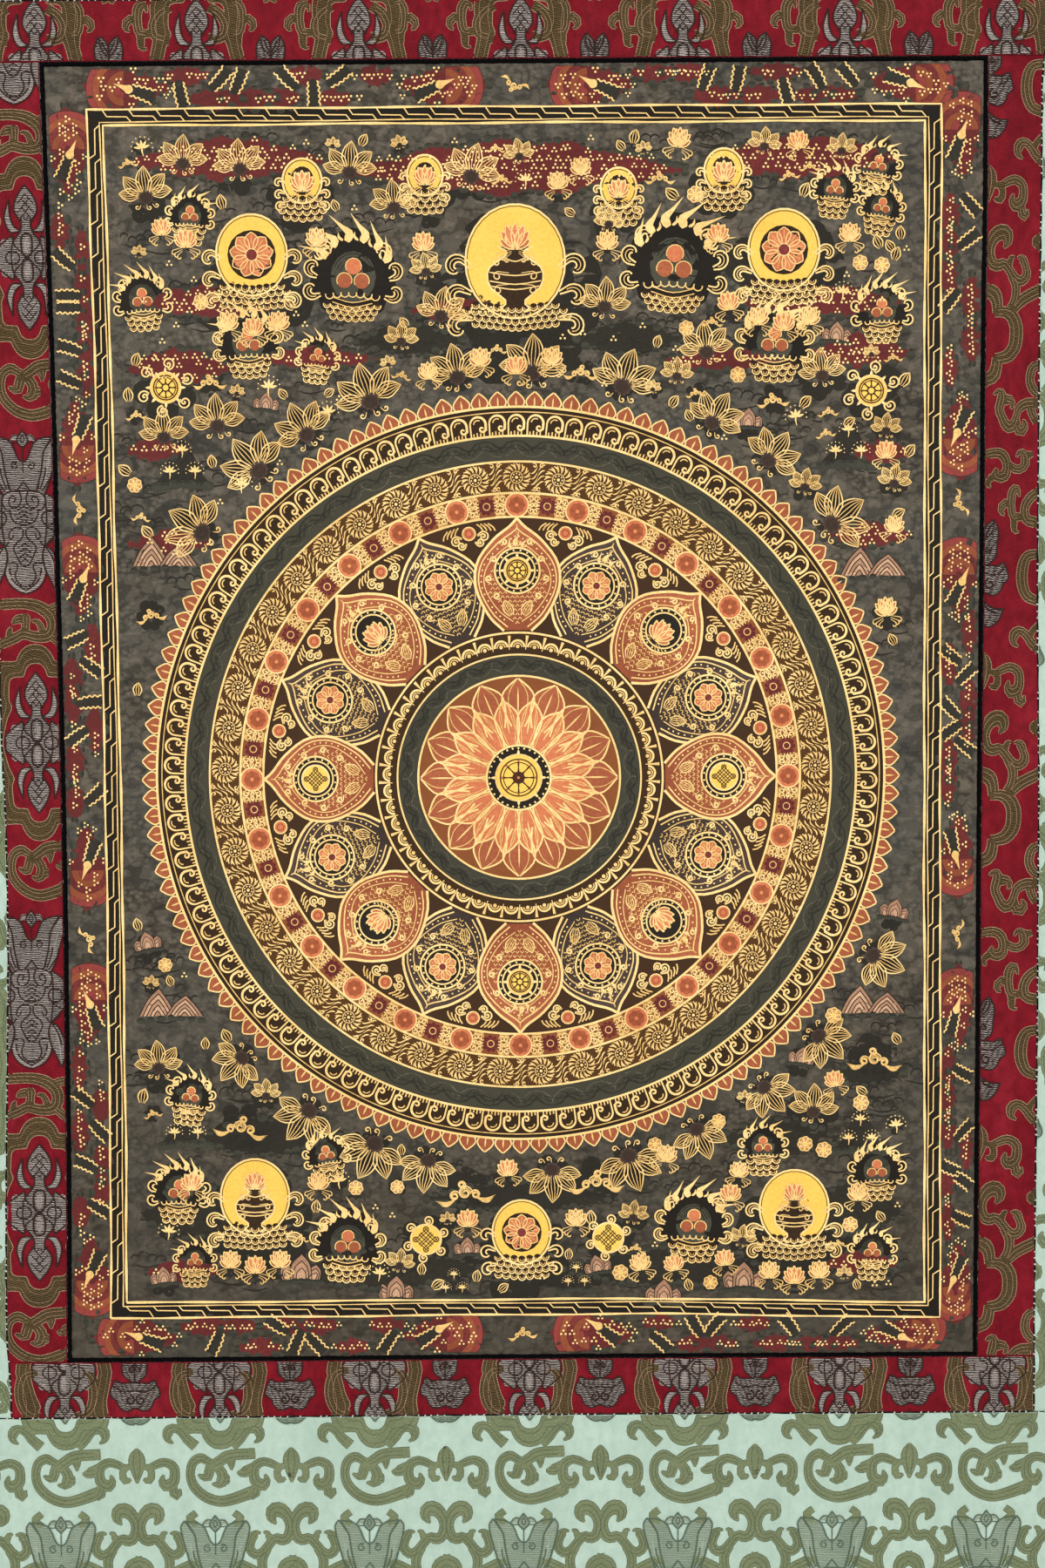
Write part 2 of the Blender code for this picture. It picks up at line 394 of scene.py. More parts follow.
def arc(x, z, radius, start, end, count=16, squash=1.0):
    a = np.radians(np.linspace(start, end, count))
    return np.stack([x + radius * np.cos(a), z + radius * squash * np.sin(a)], axis=1)


def spiral(x, z, outer, inner, start, turn, count):
    a = np.radians(np.linspace(start, start + turn, count))
    r = np.linspace(outer, inner, count)
    return np.stack([x + r * np.cos(a), z + r * np.sin(a)], axis=1)


def sides(spine, half):
    way = np.gradient(spine, axis=0)
    way /= np.maximum(np.hypot(way[:, 0], way[:, 1]), 1e-9)[:, None]
    off = np.stack([-way[:, 1], way[:, 0]], axis=1) * np.broadcast_to(half, len(spine))[:, None]
    return spine + off, spine - off


# a filled strip between two curves, in spans short enough to follow the folds; crown raises its middle
def ladder(sketch, paint, one, other, tone, crown=0.0, base=0.0):
    n = len(one)
    width = np.hypot(*(one - other).T)
    spans = max(2 if crown else 1, ceil(width.max() / 8))
    shares = np.linspace(0, 1, spans + 1)
    i = np.arange(n - 1)
    triangles = []
    for r in range(spans):
        a, b = r * n + i, (r + 1) * n + i
        triangles += [np.stack([a, b, a + 1], axis=1), np.stack([a + 1, b, b + 1], axis=1)]
    lifts = base + crown * np.outer(4 * shares * (1 - shares), width / max(width.max(), 1e-6)).ravel()
    gather(sketch, paint, np.vstack([one + (other - one) * share for share in shares]),
        np.vstack(triangles), tone, lifts)


def brush(sketch, paint, spine, half, tone, crown=0.0, base=0.0):
    one, other = sides(np.asarray(spine, float), half)
    ladder(sketch, paint, one, other, tone, crown, base)


# widths along a stroke: thin at the ends that are named, fat in the middle
def taper(count, half, start, end, fat=0.5):
    t = np.linspace(0, 1, count)
    rise = np.clip(t / max(fat, 1e-6), 0, 1)
    fall = np.clip((1 - t) / max(1 - fat, 1e-6), 0, 1)
    low = np.where(t < fat, start, end)
    return half * (low + (1 - low) * np.sin(np.minimum(rise, fall) * pi / 2))


def disc(sketch, paint, x, z, radius, tone, count, squash=1.0, crown=0.0, rings=1, base=0.0):
    rings = max(rings, ceil(radius / 8))
    a = np.linspace(0, 2 * pi, count, endpoint=False)
    around = np.stack([np.cos(a), np.sin(a) * squash], axis=1)
    parts = [np.array([[x, z]])]
    lifts = [np.array([crown])]
    triangles = []
    following = np.roll(np.arange(count), -1)
    for ring in range(1, rings + 1):
        share = ring / rings
        parts.append(np.array([x, z]) + around * radius * share)
        lifts.append(np.full(count, crown * (1 - share ** 2)))
        start = 1 + (ring - 1) * count
        if ring == 1:
            triangles.append(np.stack([np.zeros(count, int), start + np.arange(count), start + following],
                axis=1))
        else:
            inner, outer = start - count, start
            triangles.append(np.stack([inner + np.arange(count), outer + np.arange(count),
                outer + following], axis=1))
            triangles.append(np.stack([inner + np.arange(count), outer + following, inner + following],
                axis=1))
    gather(sketch, paint, np.vstack(parts), np.vstack(triangles), tone, np.concatenate(lifts) + base)


def ringLine(sketch, paint, x, z, radius, half, tone, count, squash=1.0, base=0.0):
    brush(sketch, paint, arc(x, z, radius, 0, 360, count + 1, squash), half, tone, 0.0, base)


# one array of points, triangles, tones and lifts for each paint of a figure
def settle(sketch):
    settled = {}
    for paint, parts in sketch.items():
        starts = np.cumsum([0] + [len(p[0]) for p in parts[:-1]])
        settled[paint] = [(np.vstack([p[0] for p in parts]), np.vstack([p[1] + s for p,
            s in zip(parts, starts)]), np.concatenate([p[2] for p in parts]),
            np.concatenate([p[3] for p in parts]))]
    return settled


def stamp(target, figure, x=0.0, z=0.0, turn=0.0, size=1.0, flip=False, tone=0.0, above=0.0):
    c, s = cos(radians(turn)), sin(radians(turn))
    for name, parts in figure.items():
        for points, triangles, tones, lifts in parts:
            p = points * size
            if flip:
                p = p * [-1, 1]
            moved = np.stack([x + c * p[:, 0] - s * p[:, 1], z + s * p[:, 0] + c * p[:, 1]], axis=1)
            target.setdefault(name, []).append((moved, triangles, tones + tone, lifts + above))


# copies set round a middle, their own up pointing outwards
def stampRound(target, figure, radius, count, start=0.0, tone=0.0):
    for i in range(count):
        a = start + 360 * i / count
        stamp(target, figure, radius * sin(radians(a)), radius * cos(radians(a)), -a, tone=tone * (i % 2))


# cuts a drawing off at the edges of its cloth
def clipped(sketch, xRange, zRange):
    kept = {}
    low, high = np.array([xRange[0], zRange[0]]), np.array([xRange[1], zRange[1]])
    for paint, parts in settle(sketch).items():
        points, triangles, tones, lifts = parts[0]
        inside = ((points > low) & (points < high)).all(axis=1)
        triangles = triangles[inside[triangles].any(axis=1)]
        if not len(triangles):
            continue
        used, triangles = np.unique(triangles, return_inverse=True)
        points = np.clip(points[used], low, high)
        kept[paint] = [(points, triangles.reshape(-1, 3), tones[used], lifts[used])]
    return kept


# lays one paint or thread of a drawing on the cloth as a piece
def lay(name, sketch, paint, material, lift, uvBox):
    points, triangles, tones, lifts = settle({paint: sketch[paint]})[paint][0]
    a, b, c = points[triangles[:, 0]], points[triangles[:, 1]], points[triangles[:, 2]]
    area = (b[:, 0] - a[:, 0]) * (c[:, 1] - a[:, 1]) - (b[:, 1] - a[:, 1]) * (c[:, 0] - a[:, 0])
    triangles = np.where((area < 0)[:, None], triangles[:, ::-1], triangles)
    triangles = triangles[np.abs(area) > 1e-5]
    used, triangles = np.unique(triangles, return_inverse=True)
    points, tones, lifts = points[used], tones[used], lifts[used]
    triangles = triangles.reshape(-1, 3)
    xLow, zLow, size = uvBox
    uv = (points - [xLow, zLow]) / size
    ripple = 0.02 * np.sin(points[:, 0] * 0.9) * np.cos(points[:, 1] * 0.8)
    piece = finishMesh(name, onCloth(points, lift + lifts + ripple), triangles, uv, points,
        np.clip(tones, 0, 1), (material,))
    print("drew", name, len(triangles), "triangles")
    return piece


# the woven grounds
redBrocade = {
    "ground": srgb(122, 14, 29), "deep": srgb(84, 7, 18), "lit": srgb(158, 40, 54),
    "olive": (srgb(26, 18, 8), srgb(60, 46, 24), srgb(112, 92, 57)),
    "silver": (srgb(20, 13, 11), srgb(62, 49, 45), srgb(172, 162, 157)),
    "cream": (srgb(140, 110, 82), srgb(196, 166, 134)), "brown": (srgb(38, 23, 19), srgb(62, 41, 36)),
    "threadPitch": 0.42,
}
mintBrocade = {
    "ground": srgb(180, 204, 191), "deep": srgb(160, 184, 171), "lit": srgb(196, 217, 206),
    "olive": (srgb(96, 108, 74), srgb(124, 136, 100), srgb(152, 162, 126)),
    "silver": (srgb(104, 122, 104), srgb(132, 149, 130), srgb(160, 176, 158)),
    "cream": (srgb(86, 102, 78), srgb(106, 121, 94)), "brown": (srgb(80, 98, 80), srgb(98, 116, 96)),
}


# satin ground: fine upright warp threads with a slight crossing rib
def satinGround(name, colours, roughness=0.5):
    material = newMaterial(name, roughness, 0.02, colours["lit"], specular=0.06)
    warp, weft = plainWeave(redBrocade["threadPitch"], 0.6)
    cloudy = noise((0.03, 0.012), 4, 0.6)
    colour = ramp(cloudy, [(0.25, colours["deep"]), (0.5, colours["ground"]), (0.78, colours["lit"])])
    thread = maths("MULTIPLY", warp, times(weft, 0.5, 0.5))
    for amount, tone in (  # slubs, lit specks painted as glints, patches of painted crease shade, and the gaps between threads
            (times(noise((2.6, 0.12), 2, 0.6), 0.3), "deep"),
            (times(noise((1.5, 1.1), 2, 0.7), 1.6, -0.62, True), "lit"),
            (times(noise((0.16, 0.11), 3, 0.65), 2.2, -0.85, True), "deep"),
            (times(thread, -0.35, 0.35), "deep")):
        colour = mixColour(amount, colour, colours[tone])
    shade("Base Color", colour)
    shade("Roughness", times(cloudy, 0.25, roughness - 0.12))
    bump(noise((0.35, 0.2), 3), 0.0004, 0.35, bump(thread, 0.00012, 0.6))
    return material


# the figures' thread: floats that lie across the figure, with painted highlight on their crowns
def figureThread(name, tones, ribPitch, turn=0.2, wander=3.0, depth=0.42):
    material = newMaterial(name, 0.5, 0.08, tones[-1], specular=0.16)
    rib = ribs(ribPitch, "Y", wander, 2, 1.2, (0.35, 1), turn)
    fleck = noise((1.4, 4.2), 2, 0.6, turn=turn)
    light = times(rib, depth, times(fleck, 1.1, -0.05 - depth / 2))
    light = maths("ADD", light, times(noise((0.06, 0.05), 3), 0.3, -0.15))
    light = maths("ADD", light, times(attribute("tone"), 0.5, -0.25))
    shade("Base Color", ramp(light, [(0.22 + 0.5 * i / (len(tones) - 1), tone) for i,
        tone in enumerate(tones)]))
    bump(maths("ADD", rib, fleck), 0.0003)
    return material


# the back of a brocade: loose floats of all its threads side by side
def brocadeBack(name, colours):
    material = newMaterial(name, 0.75, 0.3, colours["lit"], specular=0.2)
    floats = ribs(0.9, "Y", 2.0, 2, 1.5, (0.2, 1))
    colour = mixColour(times(noise((0.02, 0.05), 4, 0.65), 0.7), colours["deep"], colours["olive"][1])
    shade("Base Color", mixColour(times(floats, 0.35), colour, colours["lit"]))
    bump(floats, 0.0003, 0.7)
    return material


# raw cotton behind the picture, with the size and ground showing through in clouds
def cottonBack():
    material = newMaterial("cottonBack", 0.85, 0.15, specular=0.15)
    thread = maths("MAXIMUM", *plainWeave(0.75, 0.8))
    colour = ramp(noise((0.012, 0.009), 5, 0.62, 0.6), [(0.3, srgb(176, 160, 128)),
        (0.5, srgb(204, 192, 164)), (0.75, srgb(216, 206, 182))])
    shade("Base Color", mixColour(times(thread, -0.3, 0.3), colour, srgb(140, 122, 94)))
    bump(thread, 0.0003, 0.8)
    return material


# the painted ground: dark field, round zones of the medallion, weave, rolled creases
medallion = {"x": 0.0, "z": -583.5}
zones = (  # reach from the medallion's middle in mm, paint
    (18.4, srgb(44, 32, 20)), (57.7, srgb(138, 80, 44)), (69.7, srgb(66, 64, 53)),
    (82.0, srgb(62, 42, 22)), (146.9, srgb(66, 44, 26)), (160.2, srgb(140, 80, 46)),
    (177.8, srgb(84, 54, 24)), (192.0, srgb(68, 66, 54)), (205.4, srgb(52, 36, 20)),
    (209.4, srgb(44, 32, 20)),
)
field = {
    "deep": srgb(46, 43, 37), "mid": srgb(80, 74, 64), "light": srgb(107, 98, 86), "cool": srgb(73, 78, 76),
    "low": srgb(52, 46, 36), "puff": 7.4, "smallPuff": 3.3,   # puffs of cloud in mm
}


# the height of rounded puffs of one size, with a fine ripple in each
def puff(size, wander):
    bent = node("VectorMath", {0: noise((0.12, 0.16), output="Color"), 1: (wander, wander, 0),
        2: flatPlace((1 / size, 1.25 / size))}, operation="MULTIPLY_ADD")
    near = node("TexVoronoi", {"Vector": bent, "Scale": 1.0, "Randomness": 0.8}, "Distance")
    height = maths("SUBTRACT", 1.0, times(near, 1.15), clamp=True)
    return times(maths("SINE", times(near, 26.0)), 0.1, height)


# what lies in the medallion's round zones
def roundZones():
    place = node("VectorMath", {0: flatPlace(), 1: (medallion["x"], medallion["z"], 0)}, operation="SUBTRACT")
    length = node("VectorMath", {0: place}, "Value", operation="LENGTH")
    reach = maths("ADD", length, times(noise((0.08, 0.08)), 1.2, -0.6))
    lows = (0.0, *(high for high, paint in zones))
    rounds = ramp(maths("DIVIDE", reach, 240.0), [(low / 240, paint) for low,
        (high, paint) in zip(lows, zones)], True)
    rounds = mixColour(times(noise((0.09, 0.09), 5, 0.7), 0.9, -0.25, True), rounds,
        mixColour(0.5, rounds, srgb(20, 14, 8)))
    return maths("LESS_THAN", reach, zones[-1][0]), rounds


def paintedGround():
    material = newMaterial("paintedGround", specular=0.1)
    cloudy = noise((0.011, 0.019), 4, 0.6, 0.5)
    # tone on tone clouds: puffs of two sizes, light in the middle, dark where they meet
    pick = times(noise((0.05, 0.07)), 8.0, -3.8, True)
    height = node("Mix", {0: pick, 2: puff(field["puff"], 2.2), 3: puff(field["smallPuff"], 1.1)})
    light = times(cloudy, 0.5, times(height, 0.75, -0.12))
    colour = ramp(light, [(0.16, field["deep"]), (0.44, field["mid"]), (0.8, field["light"])])
    cool = noise((0.017, 0.017), 3, 0.6, shift=(40, 9, 0))
    colour = mixColour(times(cool, 2.4, -0.95, True), colour, mixColour(0.45, colour, field["cool"]))
    lower = times(node("SeparateXYZ", {0: flatPlace()}, "Y"), -0.0016, -0.98, True)
    colour = mixColour(lower, colour, field["low"])
    inside, rounds = roundZones()
    colour = mixColour(inside, colour, rounds)
    # fine grain of the ground and a brown bloom of age
    colour = mixColour(times(noise((1.4, 1.4), 3, 0.7), 0.5, -0.12, True), colour,
        mixColour(0.35, colour, srgb(30, 22, 14)))
    shade("Base Color", colour)
    shade("Roughness", times(cloudy, 0.25, 0.42))
    first = bump(maths("MAXIMUM", *plainWeave(0.7, 0.7)), 0.0001, 0.5)
    bump(noise((0.02, 0.16), 3), 0.0007, 0.35, first)
    return material


def layCloths():
    edge, side, outer = edgingHalf + cut["gap"], borderHalf + cut["gap"], scrollHalf
    half, low, high = pictureHalf + cut["under"], pictureBottom - cut["under"], pictureTop + cut["under"]
    hem, topHem = cut["sideHem"], cut["topHem"]
    level = edgingTop + cut["gap"]
    foot = edgingBottom - cut["gap"]
    none, upright = (0, 0, 0, 0), (borderBottom, borderTop)
    table = (  # name, x range, z range, mesh step, hems, hangs from
        ("picture", (-half, half), (low, high), 5.6, none, "edging_top"),
        ("border_left", (-borderHalf, -edge), (edgingBottom, edgingTop), 4.2, none, "border_top"),
        ("border_right", (edge, borderHalf), (edgingBottom, edgingTop), 4.2, none, "border_top"),
        ("border_top", (-borderHalf, borderHalf), (level, borderTop), 4.2, none, "heading"),
        ("border_bottom", (-borderHalf, borderHalf), (borderBottom, foot), 4.2, none, "border_left"),
        ("side_left", (-outer, -side), upright, 5.0, (hem, 0, 0, 0), "heading"),
        ("side_right", (side, outer), upright, 5.0, (0, hem, 0, 0), "heading"),
        ("heading", (-outer, outer), (borderTop + cut["gap"], 0), 5.0, (hem, hem, 0, topHem), ()),
        ("foot", (-outer, outer), (scrollBottom, footTop), 5.0, (hem, hem, hem, 0), "side_left"),
    )
    looks = {"picture": (paintedGround(), cottonBack(), "picture", cut["canvas"]),
        "border": (satinGround("redSatin", redBrocade), brocadeBack("redBack", redBrocade), "red_brocade",
        cut["brocade"]), "mint": (satinGround("mintSatin", mintBrocade, 0.55),
        brocadeBack("mintBack", mintBrocade), "mint_brocade", cut["brocade"])}
    for name, xRange, zRange, step, hems, above in table:
        front, back, slot, thick = looks.get(name.split("_")[0], looks["mint"])
        piece = layCloth("cloth_" + name, xRange, zRange, step, front, back, thick, hems)
        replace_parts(piece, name)
    print("laid", len(table), "cloths")


layCloths()


# the brocade figures: one column of palmettes and lobed cartouches, then one of brackets, scrolls and leaves
weave = {
    "repeat": 271.0, "spacing": 90.0,   # mm down a column, and from column to like column
    "leftStrip": {"x": -280.7, "z": -386.0, "lean": 0.0085},
    "rightStrip": {"x": 264.0, "z": -283.3, "lean": 0.0},
    "outline": 0.36, "step": 2.0, "trace": 0.38, "hatchPitch": 1.15, "hatchSlope": -22.0,
    "cartouche": (4.0, -176.0),         # its middle stands to one side of the palmettes' line
}


# a woven band through stations of x, z and half width, its pale outline showing round it
def woven(sketch, stations):
    path = np.array(stations, float)
    count = max(6, int(np.hypot(*np.diff(path[:, :2], axis=0).T).sum() / weave["step"]))
    fine = smooth(path, count)
    spine, width = fine[:, :2], np.clip(fine[:, 2], 0.15, None)
    brush(sketch, "cream", spine, width + weave["outline"], 0.6)
    brush(sketch, "olive", spine, width, 0.5, crown=0.3)
    if width.max() > 2.2:
        for side in (-0.42, 0.42):
            inner = spine + (sides(spine, width)[0] - spine) * side
            thin = 0.15 * np.clip(width[1:-1] - 1.2, 0, 1) + 0.01
            brush(sketch, "cream", inner[1:-1], thin, 0.25, base=0.42)


def mirrored(sketch, draw):
    half = {}
    draw(half)
    stamp(sketch, half)
    stamp(sketch, half, flip=True)


def trace(sketch, points, half=weave["trace"]):
    count = max(4, int(np.hypot(*np.diff(np.array(points, float), axis=0).T).sum() / 1.3))
    brush(sketch, "brown", smooth(points, count), half, 0.4)


# silver floats between two edges, which are traced in brown but for those on the mirror axis
def leaf(sketch, one, other, tone, traced=True, lit=None):
    count = max(7, int(np.hypot(*np.diff(np.array(one, float), axis=0).T).sum() / 1.6))
    left, right = smooth(one, count), smooth(other, count)
    ladder(sketch, "silver", left, right, tone, crown=0.3)
    for edge in (one, other):
        if traced and max(abs(x) for x, z in edge) > 0.5:
            trace(sketch, edge)
    if lit is not None:
        brush(sketch, "silver", right + (left - right) * lit, taper(count, 0.7, 0.1, 0.1), 1.0, 0.12, 0.16)
    return np.vstack([left, right[::-1]])


# slanting threads across a leaf, each cut where it meets the outline
def hatch(sketch, outline):
    pitch, slope = weave["hatchPitch"], radians(weave["hatchSlope"])
    way = np.array([cos(slope), sin(slope)])
    across = outline @ np.array([-way[1], way[0]])
    along = outline @ way
    for level in np.arange(across.min() + pitch / 2, across.max(), pitch):
        a, b = across - level, np.roll(across, -1) - level
        meets = (a < 0) != (b < 0)
        share = a[meets] / (a[meets] - b[meets])
        cuts = np.sort(along[meets] + share * (np.roll(along, -1)[meets] - along[meets]))
        for start, end in zip(cuts[::2], cuts[1::2]):
            if end - start > 1.2:
                line = way * np.array([[start + 0.3], [(start + end) / 2], [end - 0.3]])
                brush(sketch, "brown", line + level * np.array([-way[1], way[0]]), [0.08, 0.2, 0.08], 0.3)


# veins falling away on either side of a leaf's middle
def veins(sketch, top, low, reach):
    for k in range(4):
        z = top + (low - top) * (k + 0.3) / 4
        wide = reach * sin(pi * (0.3 + 0.5 * (k + 0.5) / 4))
        brush(sketch, "brown", [(0, z), (wide * 0.5, z - 1.6), (wide, z - 2.7)], [0.34, 0.3, 0.12], 0.45)


def palmette(sketch):
    def half(s):
        # flared lobes, with an outer leaf behind each
        leaf(s, [(0, -18), (2, -17), (3.5, -14.5), (5, -10.5), (6.5, -7.5), (9, -5.5), (12, -4.5),
            (17, -3.8)], [(0, -34), (7.5, -34), (9, -29), (10.2, -24.5), (11, -19.5), (11.5, -15.5),
            (12.5, -11.5), (17, -3.8)], 0.42)
        leaf(s, [(7.5, -34), (9, -29), (10.2, -24.5), (11, -19.5), (11.5, -15.5), (12.5, -11.5),
            (18, -3.6)], [(12, -36), (15, -29), (17.5, -20), (19.5, -12), (20, -7), (18, -3.6)], 0.6, lit=0.5)
        for points in ([(13, -21.5), (12.5, -25.5), (11, -30), (9.5, -33.5)],
                [(16.5, -22.5), (15.5, -27), (13, -31), (10.5, -34.5)]):
            trace(s, points)
        # the body, its bulging sides and the leaf low at its side
        leaf(s, [(0, -33), (0, -48), (0, -64), (0, -78), (0, -92)], [(12, -33), (12.8, -48), (11.4, -65),
            (11.6, -80), (0, -92)], 0.5, traced=False)
        leaf(s, [(12, -35), (12.8, -45), (12.6, -56), (11.3, -65.5)],
            [(12, -35), (19, -41), (20.5, -54), (11.3, -65.5)], 0.4)
        leaf(s, [(11.3, -65.7), (10.2, -70), (11, -76), (12, -79.5), (17.5, -91)],
            [(11.3, -65.7), (15, -67), (18.5, -74), (19.5, -82), (17.5, -91)], 0.55, lit=0.4)
        for points in ([(11.3, -65.7), (10.3, -68.5), (10, -72.5), (11, -76.5), (12, -79.5), (11.5, -82),
                (9.5, -86), (6, -89.5), (0, -92)], [(12.3, -66.5), (14.5, -69.5), (16.5, -74.5),
                (17.3, -78.5)], [(9, -62.5), (11.3, -65.5), (14, -63.5), (17, -60.5)]):
            trace(s, points)
        ringLine(s, "brown", 14.1, -49.5, 4.0, 0.4, 0.4, 20)
        trace(s, [(12, -53.3), (14, -55.2), (17, -56.7)])
        # rolled ends on the lobes and two pairs of volutes under them
        trace(s, spiral(4.6, -20.2, 2.6, 0.8, 120, -420, 9))
        for points in ([(3.3, -33.6), (5, -34.3), (9, -35), (11.5, -36.7), (12.7, -39.5), (11.7, -42.5),
                (10.3, -44.7), (7.9, -44.9)], [(2.5, -34.6), (1.4, -38), (1.9, -41), (3.7, -43.4),
                (6, -43.9), (8, -42.5), (8.6, -40), (7.4, -37.7), (5.4, -37.5), (4.7, -39), (6, -40.8)],
                [(0, -29), (1.9, -31.7), (3.4, -33.6)], [(1.4, -55.3), (4, -54.5), (7, -55.7), (9, -58.6),
                (8.5, -61), (7, -60.6), (6, -58.6)], [(0.9, -55.7), (0.9, -59), (2.4, -61.6), (5, -63.6),
                (6.5, -66.5), (5.4, -69.5), (4, -72.5), (2.4, -75.3), (0, -76.4)],
                [(7.9, -44.9), (7.9, -47.5), (6.4, -50.6), (4, -52.4), (0, -53.3)]):
            trace(s, points)
        # a veined leaf under each pair
        veins(s, -42, -52, 5.6)
        veins(s, -62.5, -74, 4.4)
        # the cup, its rim rolled and lit
        for points in ([(9.8, -74.8), (6.8, -74.2), (4.8, -75.3), (4.6, -77.8), (5.8, -80.7), (5.3, -84.2),
                (2.8, -87), (0, -87.8)], [(8.3, -81.4), (9.1, -79.3), (8.8, -77.3)]):
            trace(s, points)
        brush(s, "silver", smooth([(10.2, -76.3), (10.2, -81), (7.8, -85.7), (4, -89), (0, -91)], 16),
            taper(16, 1.1, 0.3, 0.7), 0.98, 0.25, 0.15)
        trace(s, [(8.3, -83.2), (5.3, -86.6), (0, -90)])
        brush(s, "silver", smooth([(3, -36.5), (7.2, -35.8), (10.4, -37.6), (11.2, -40.6)], 10),
            taper(10, 0.7, 0.2, 0.2), 0.9, 0.2, 0.14)
        # half of the bud, with a pale side petal
        leaf(s, [(0, -0.4), (0, -5), (0, -10.4)], [(0, -0.4), (3.3, -6), (0, -10.4)], 0.45)
        brush(s, "silver", smooth([(2.6, -4.6), (5, -4.4), (7.6, -6.4)], 8), taper(8, 1.8, 0.8, 0.1, 0.3),
            0.85, 0.2)
        trace(s, [(2.6, -3.2), (5.4, -3.4), (7.6, -6.4), (5, -7.2), (3, -7)], 0.3)
        trace(s, [(0, -3), (1.4, -5.4), (0, -7.6)], 0.26)
    mirrored(sketch, half)
    trace(sketch, [(0, -10.4), (0, -14), (0, -18), (0, -24)], 0.3)


# a quarter of a figure, mirrored sideways and turned upside down
def fourWays(sketch, quarter, x, z):
    for flip in (False, True):
        for turn in (0, 180):
            stamp(sketch, quarter, x, z, turn, flip=flip)


def crossOrnament(sketch, x, z):
    quarter = {}
    leaf(quarter, [(0, 22), (0, 31), (0, 40)], [(3, 20), (6.5, 26), (5, 33), (0, 40)], 0.6)
    for k in range(3):
        trace(quarter, [(0, 35 - 5 * k), (2.3, 32.4 - 5 * k), (4.6, 29.6 - 5 * k)], 0.26)
        trace(quarter, [(0, 29.8 - 4.5 * k), (2.3, 32.6 - 4.5 * k)], 0.26)
    leaf(quarter, [(3.2, 14.5), (7, 17.5), (9, 23), (9.4, 32)], [(3.2, 14.5), (9.3, 14.5), (12.2, 22),
        (9.4, 32)], 0.85, lit=0.45)
    leaf(quarter, [(0, 0), (0, 11), (0, 22)], [(9, 0), (8, 8), (3.2, 15), (2.6, 22)], 0.42)
    leaf(quarter, [(0, 0), (3, 3), (7, 7), (8.2, 12.5)], [(18, 0), (18, 4), (14, 8), (8.2, 12.5)], 0.5)
    brush(quarter, "silver", spiral(12.2, 8.2, 2.6, 0.6, -60, 400, 14), 0.5, 0.95, 0.15, 0.1)
    trace(quarter, [(0, 13.4), (2.6, 12), (3.2, 7), (2.4, 2), (1.4, 1)], 0.5)
    brush(quarter, "silver", [(0, 2), (0, 5), (0, 9), (0, 11.6)], [0.4, 1.8, 1.8, 0.2], 1.0, 0.35, 0.2)
    fourWays(sketch, quarter, x, z)
    for side in (-8.2, 8.2):
        ringLine(sketch, "brown", x + side, z, 4.0, 0.4, 0.5, 18, 0.9)
        disc(sketch, "silver", x + side, z, 1.5, 1.0, 10, 0.8, 0.25, base=0.12)
    disc(sketch, "brown", x, z, 1.5, 0.3, 10)


# the cartouche is the same above and below
def cartouche(sketch):
    (x, z), quarter = weave["cartouche"], {}
    inner = smooth([(0, 45.3), (3, 44.7), (5.5, 42.3), (7, 38.2), (8.5, 37.6), (13, 37.2), (15.3, 35),
        (15.8, 30), (15.8, 24), (14.5, 20), (17, 14), (19, 6), (20, 0)], 44)
    outer = smooth([(0, 55.6), (4, 54.8), (7.5, 52.3), (10, 48.3), (11, 46.2), (15, 45.8), (20, 45.8),
        (24, 42), (25.5, 35), (25, 26), (24, 18), (26, 8), (27.5, 0)], 44)
    ladder(quarter, "olive", inner, outer, 0.5, crown=0.3)
    for share, half, lift in ((0.0, 0.4, 0.0), (1.0, 0.4, 0.0), (0.25, 0.12, 0.42), (0.75, 0.12, 0.42)):
        brush(quarter, "cream", inner + (outer - inner) * share, half, 0.6 if half > 0.3 else 0.25, base=lift)
    fourWays(sketch, quarter, x, z)
    crossOrnament(sketch, x, z)


# the bands' stations: x, z and half width
archScroll = (
    ((-22, -98.5, 3), (-10, -97.5, 2.7), (0, -97.5, 2.8), (7.5, -99.5, 3.2), (13.5, -104.5, 3.3),
     (14.5, -111, 3), (11.5, -115.5, 3), (4.5, -116, 2.8), (-2.5, -114.5, 2.6), (-8, -117, 2.6),
     (-22, -122.5, 2.8)),
    ((12.5, -101, 2), (16.5, -99.5, 2.2), (24, -99.5, 2.4)),
    ((12.5, -114.5, 2), (16, -117.5, 2.2), (23.5, -123.5, 2.6)),
    ((-1.5, -113.5, 2.6), (-1, -109.5, 2), (-1, -105.5, 2.6), (-1, -103, 1.2)),
    ((-2, -106, 2), (-5, -106, 2.4), (-7.5, -107.5, 1.4), (-8.5, -109, 0.3)),
    ((-7, -116.5, 2.2), (-10.5, -115, 1.8), (-10, -112, 1.2), (-9, -110.5, 0.3)),
    ((10, -115.5, 2.4), (8, -111.5, 1.6), (7, -108.5, 1.6), (4.5, -107, 1.1), (2.5, -107.5, 0.3)),
)
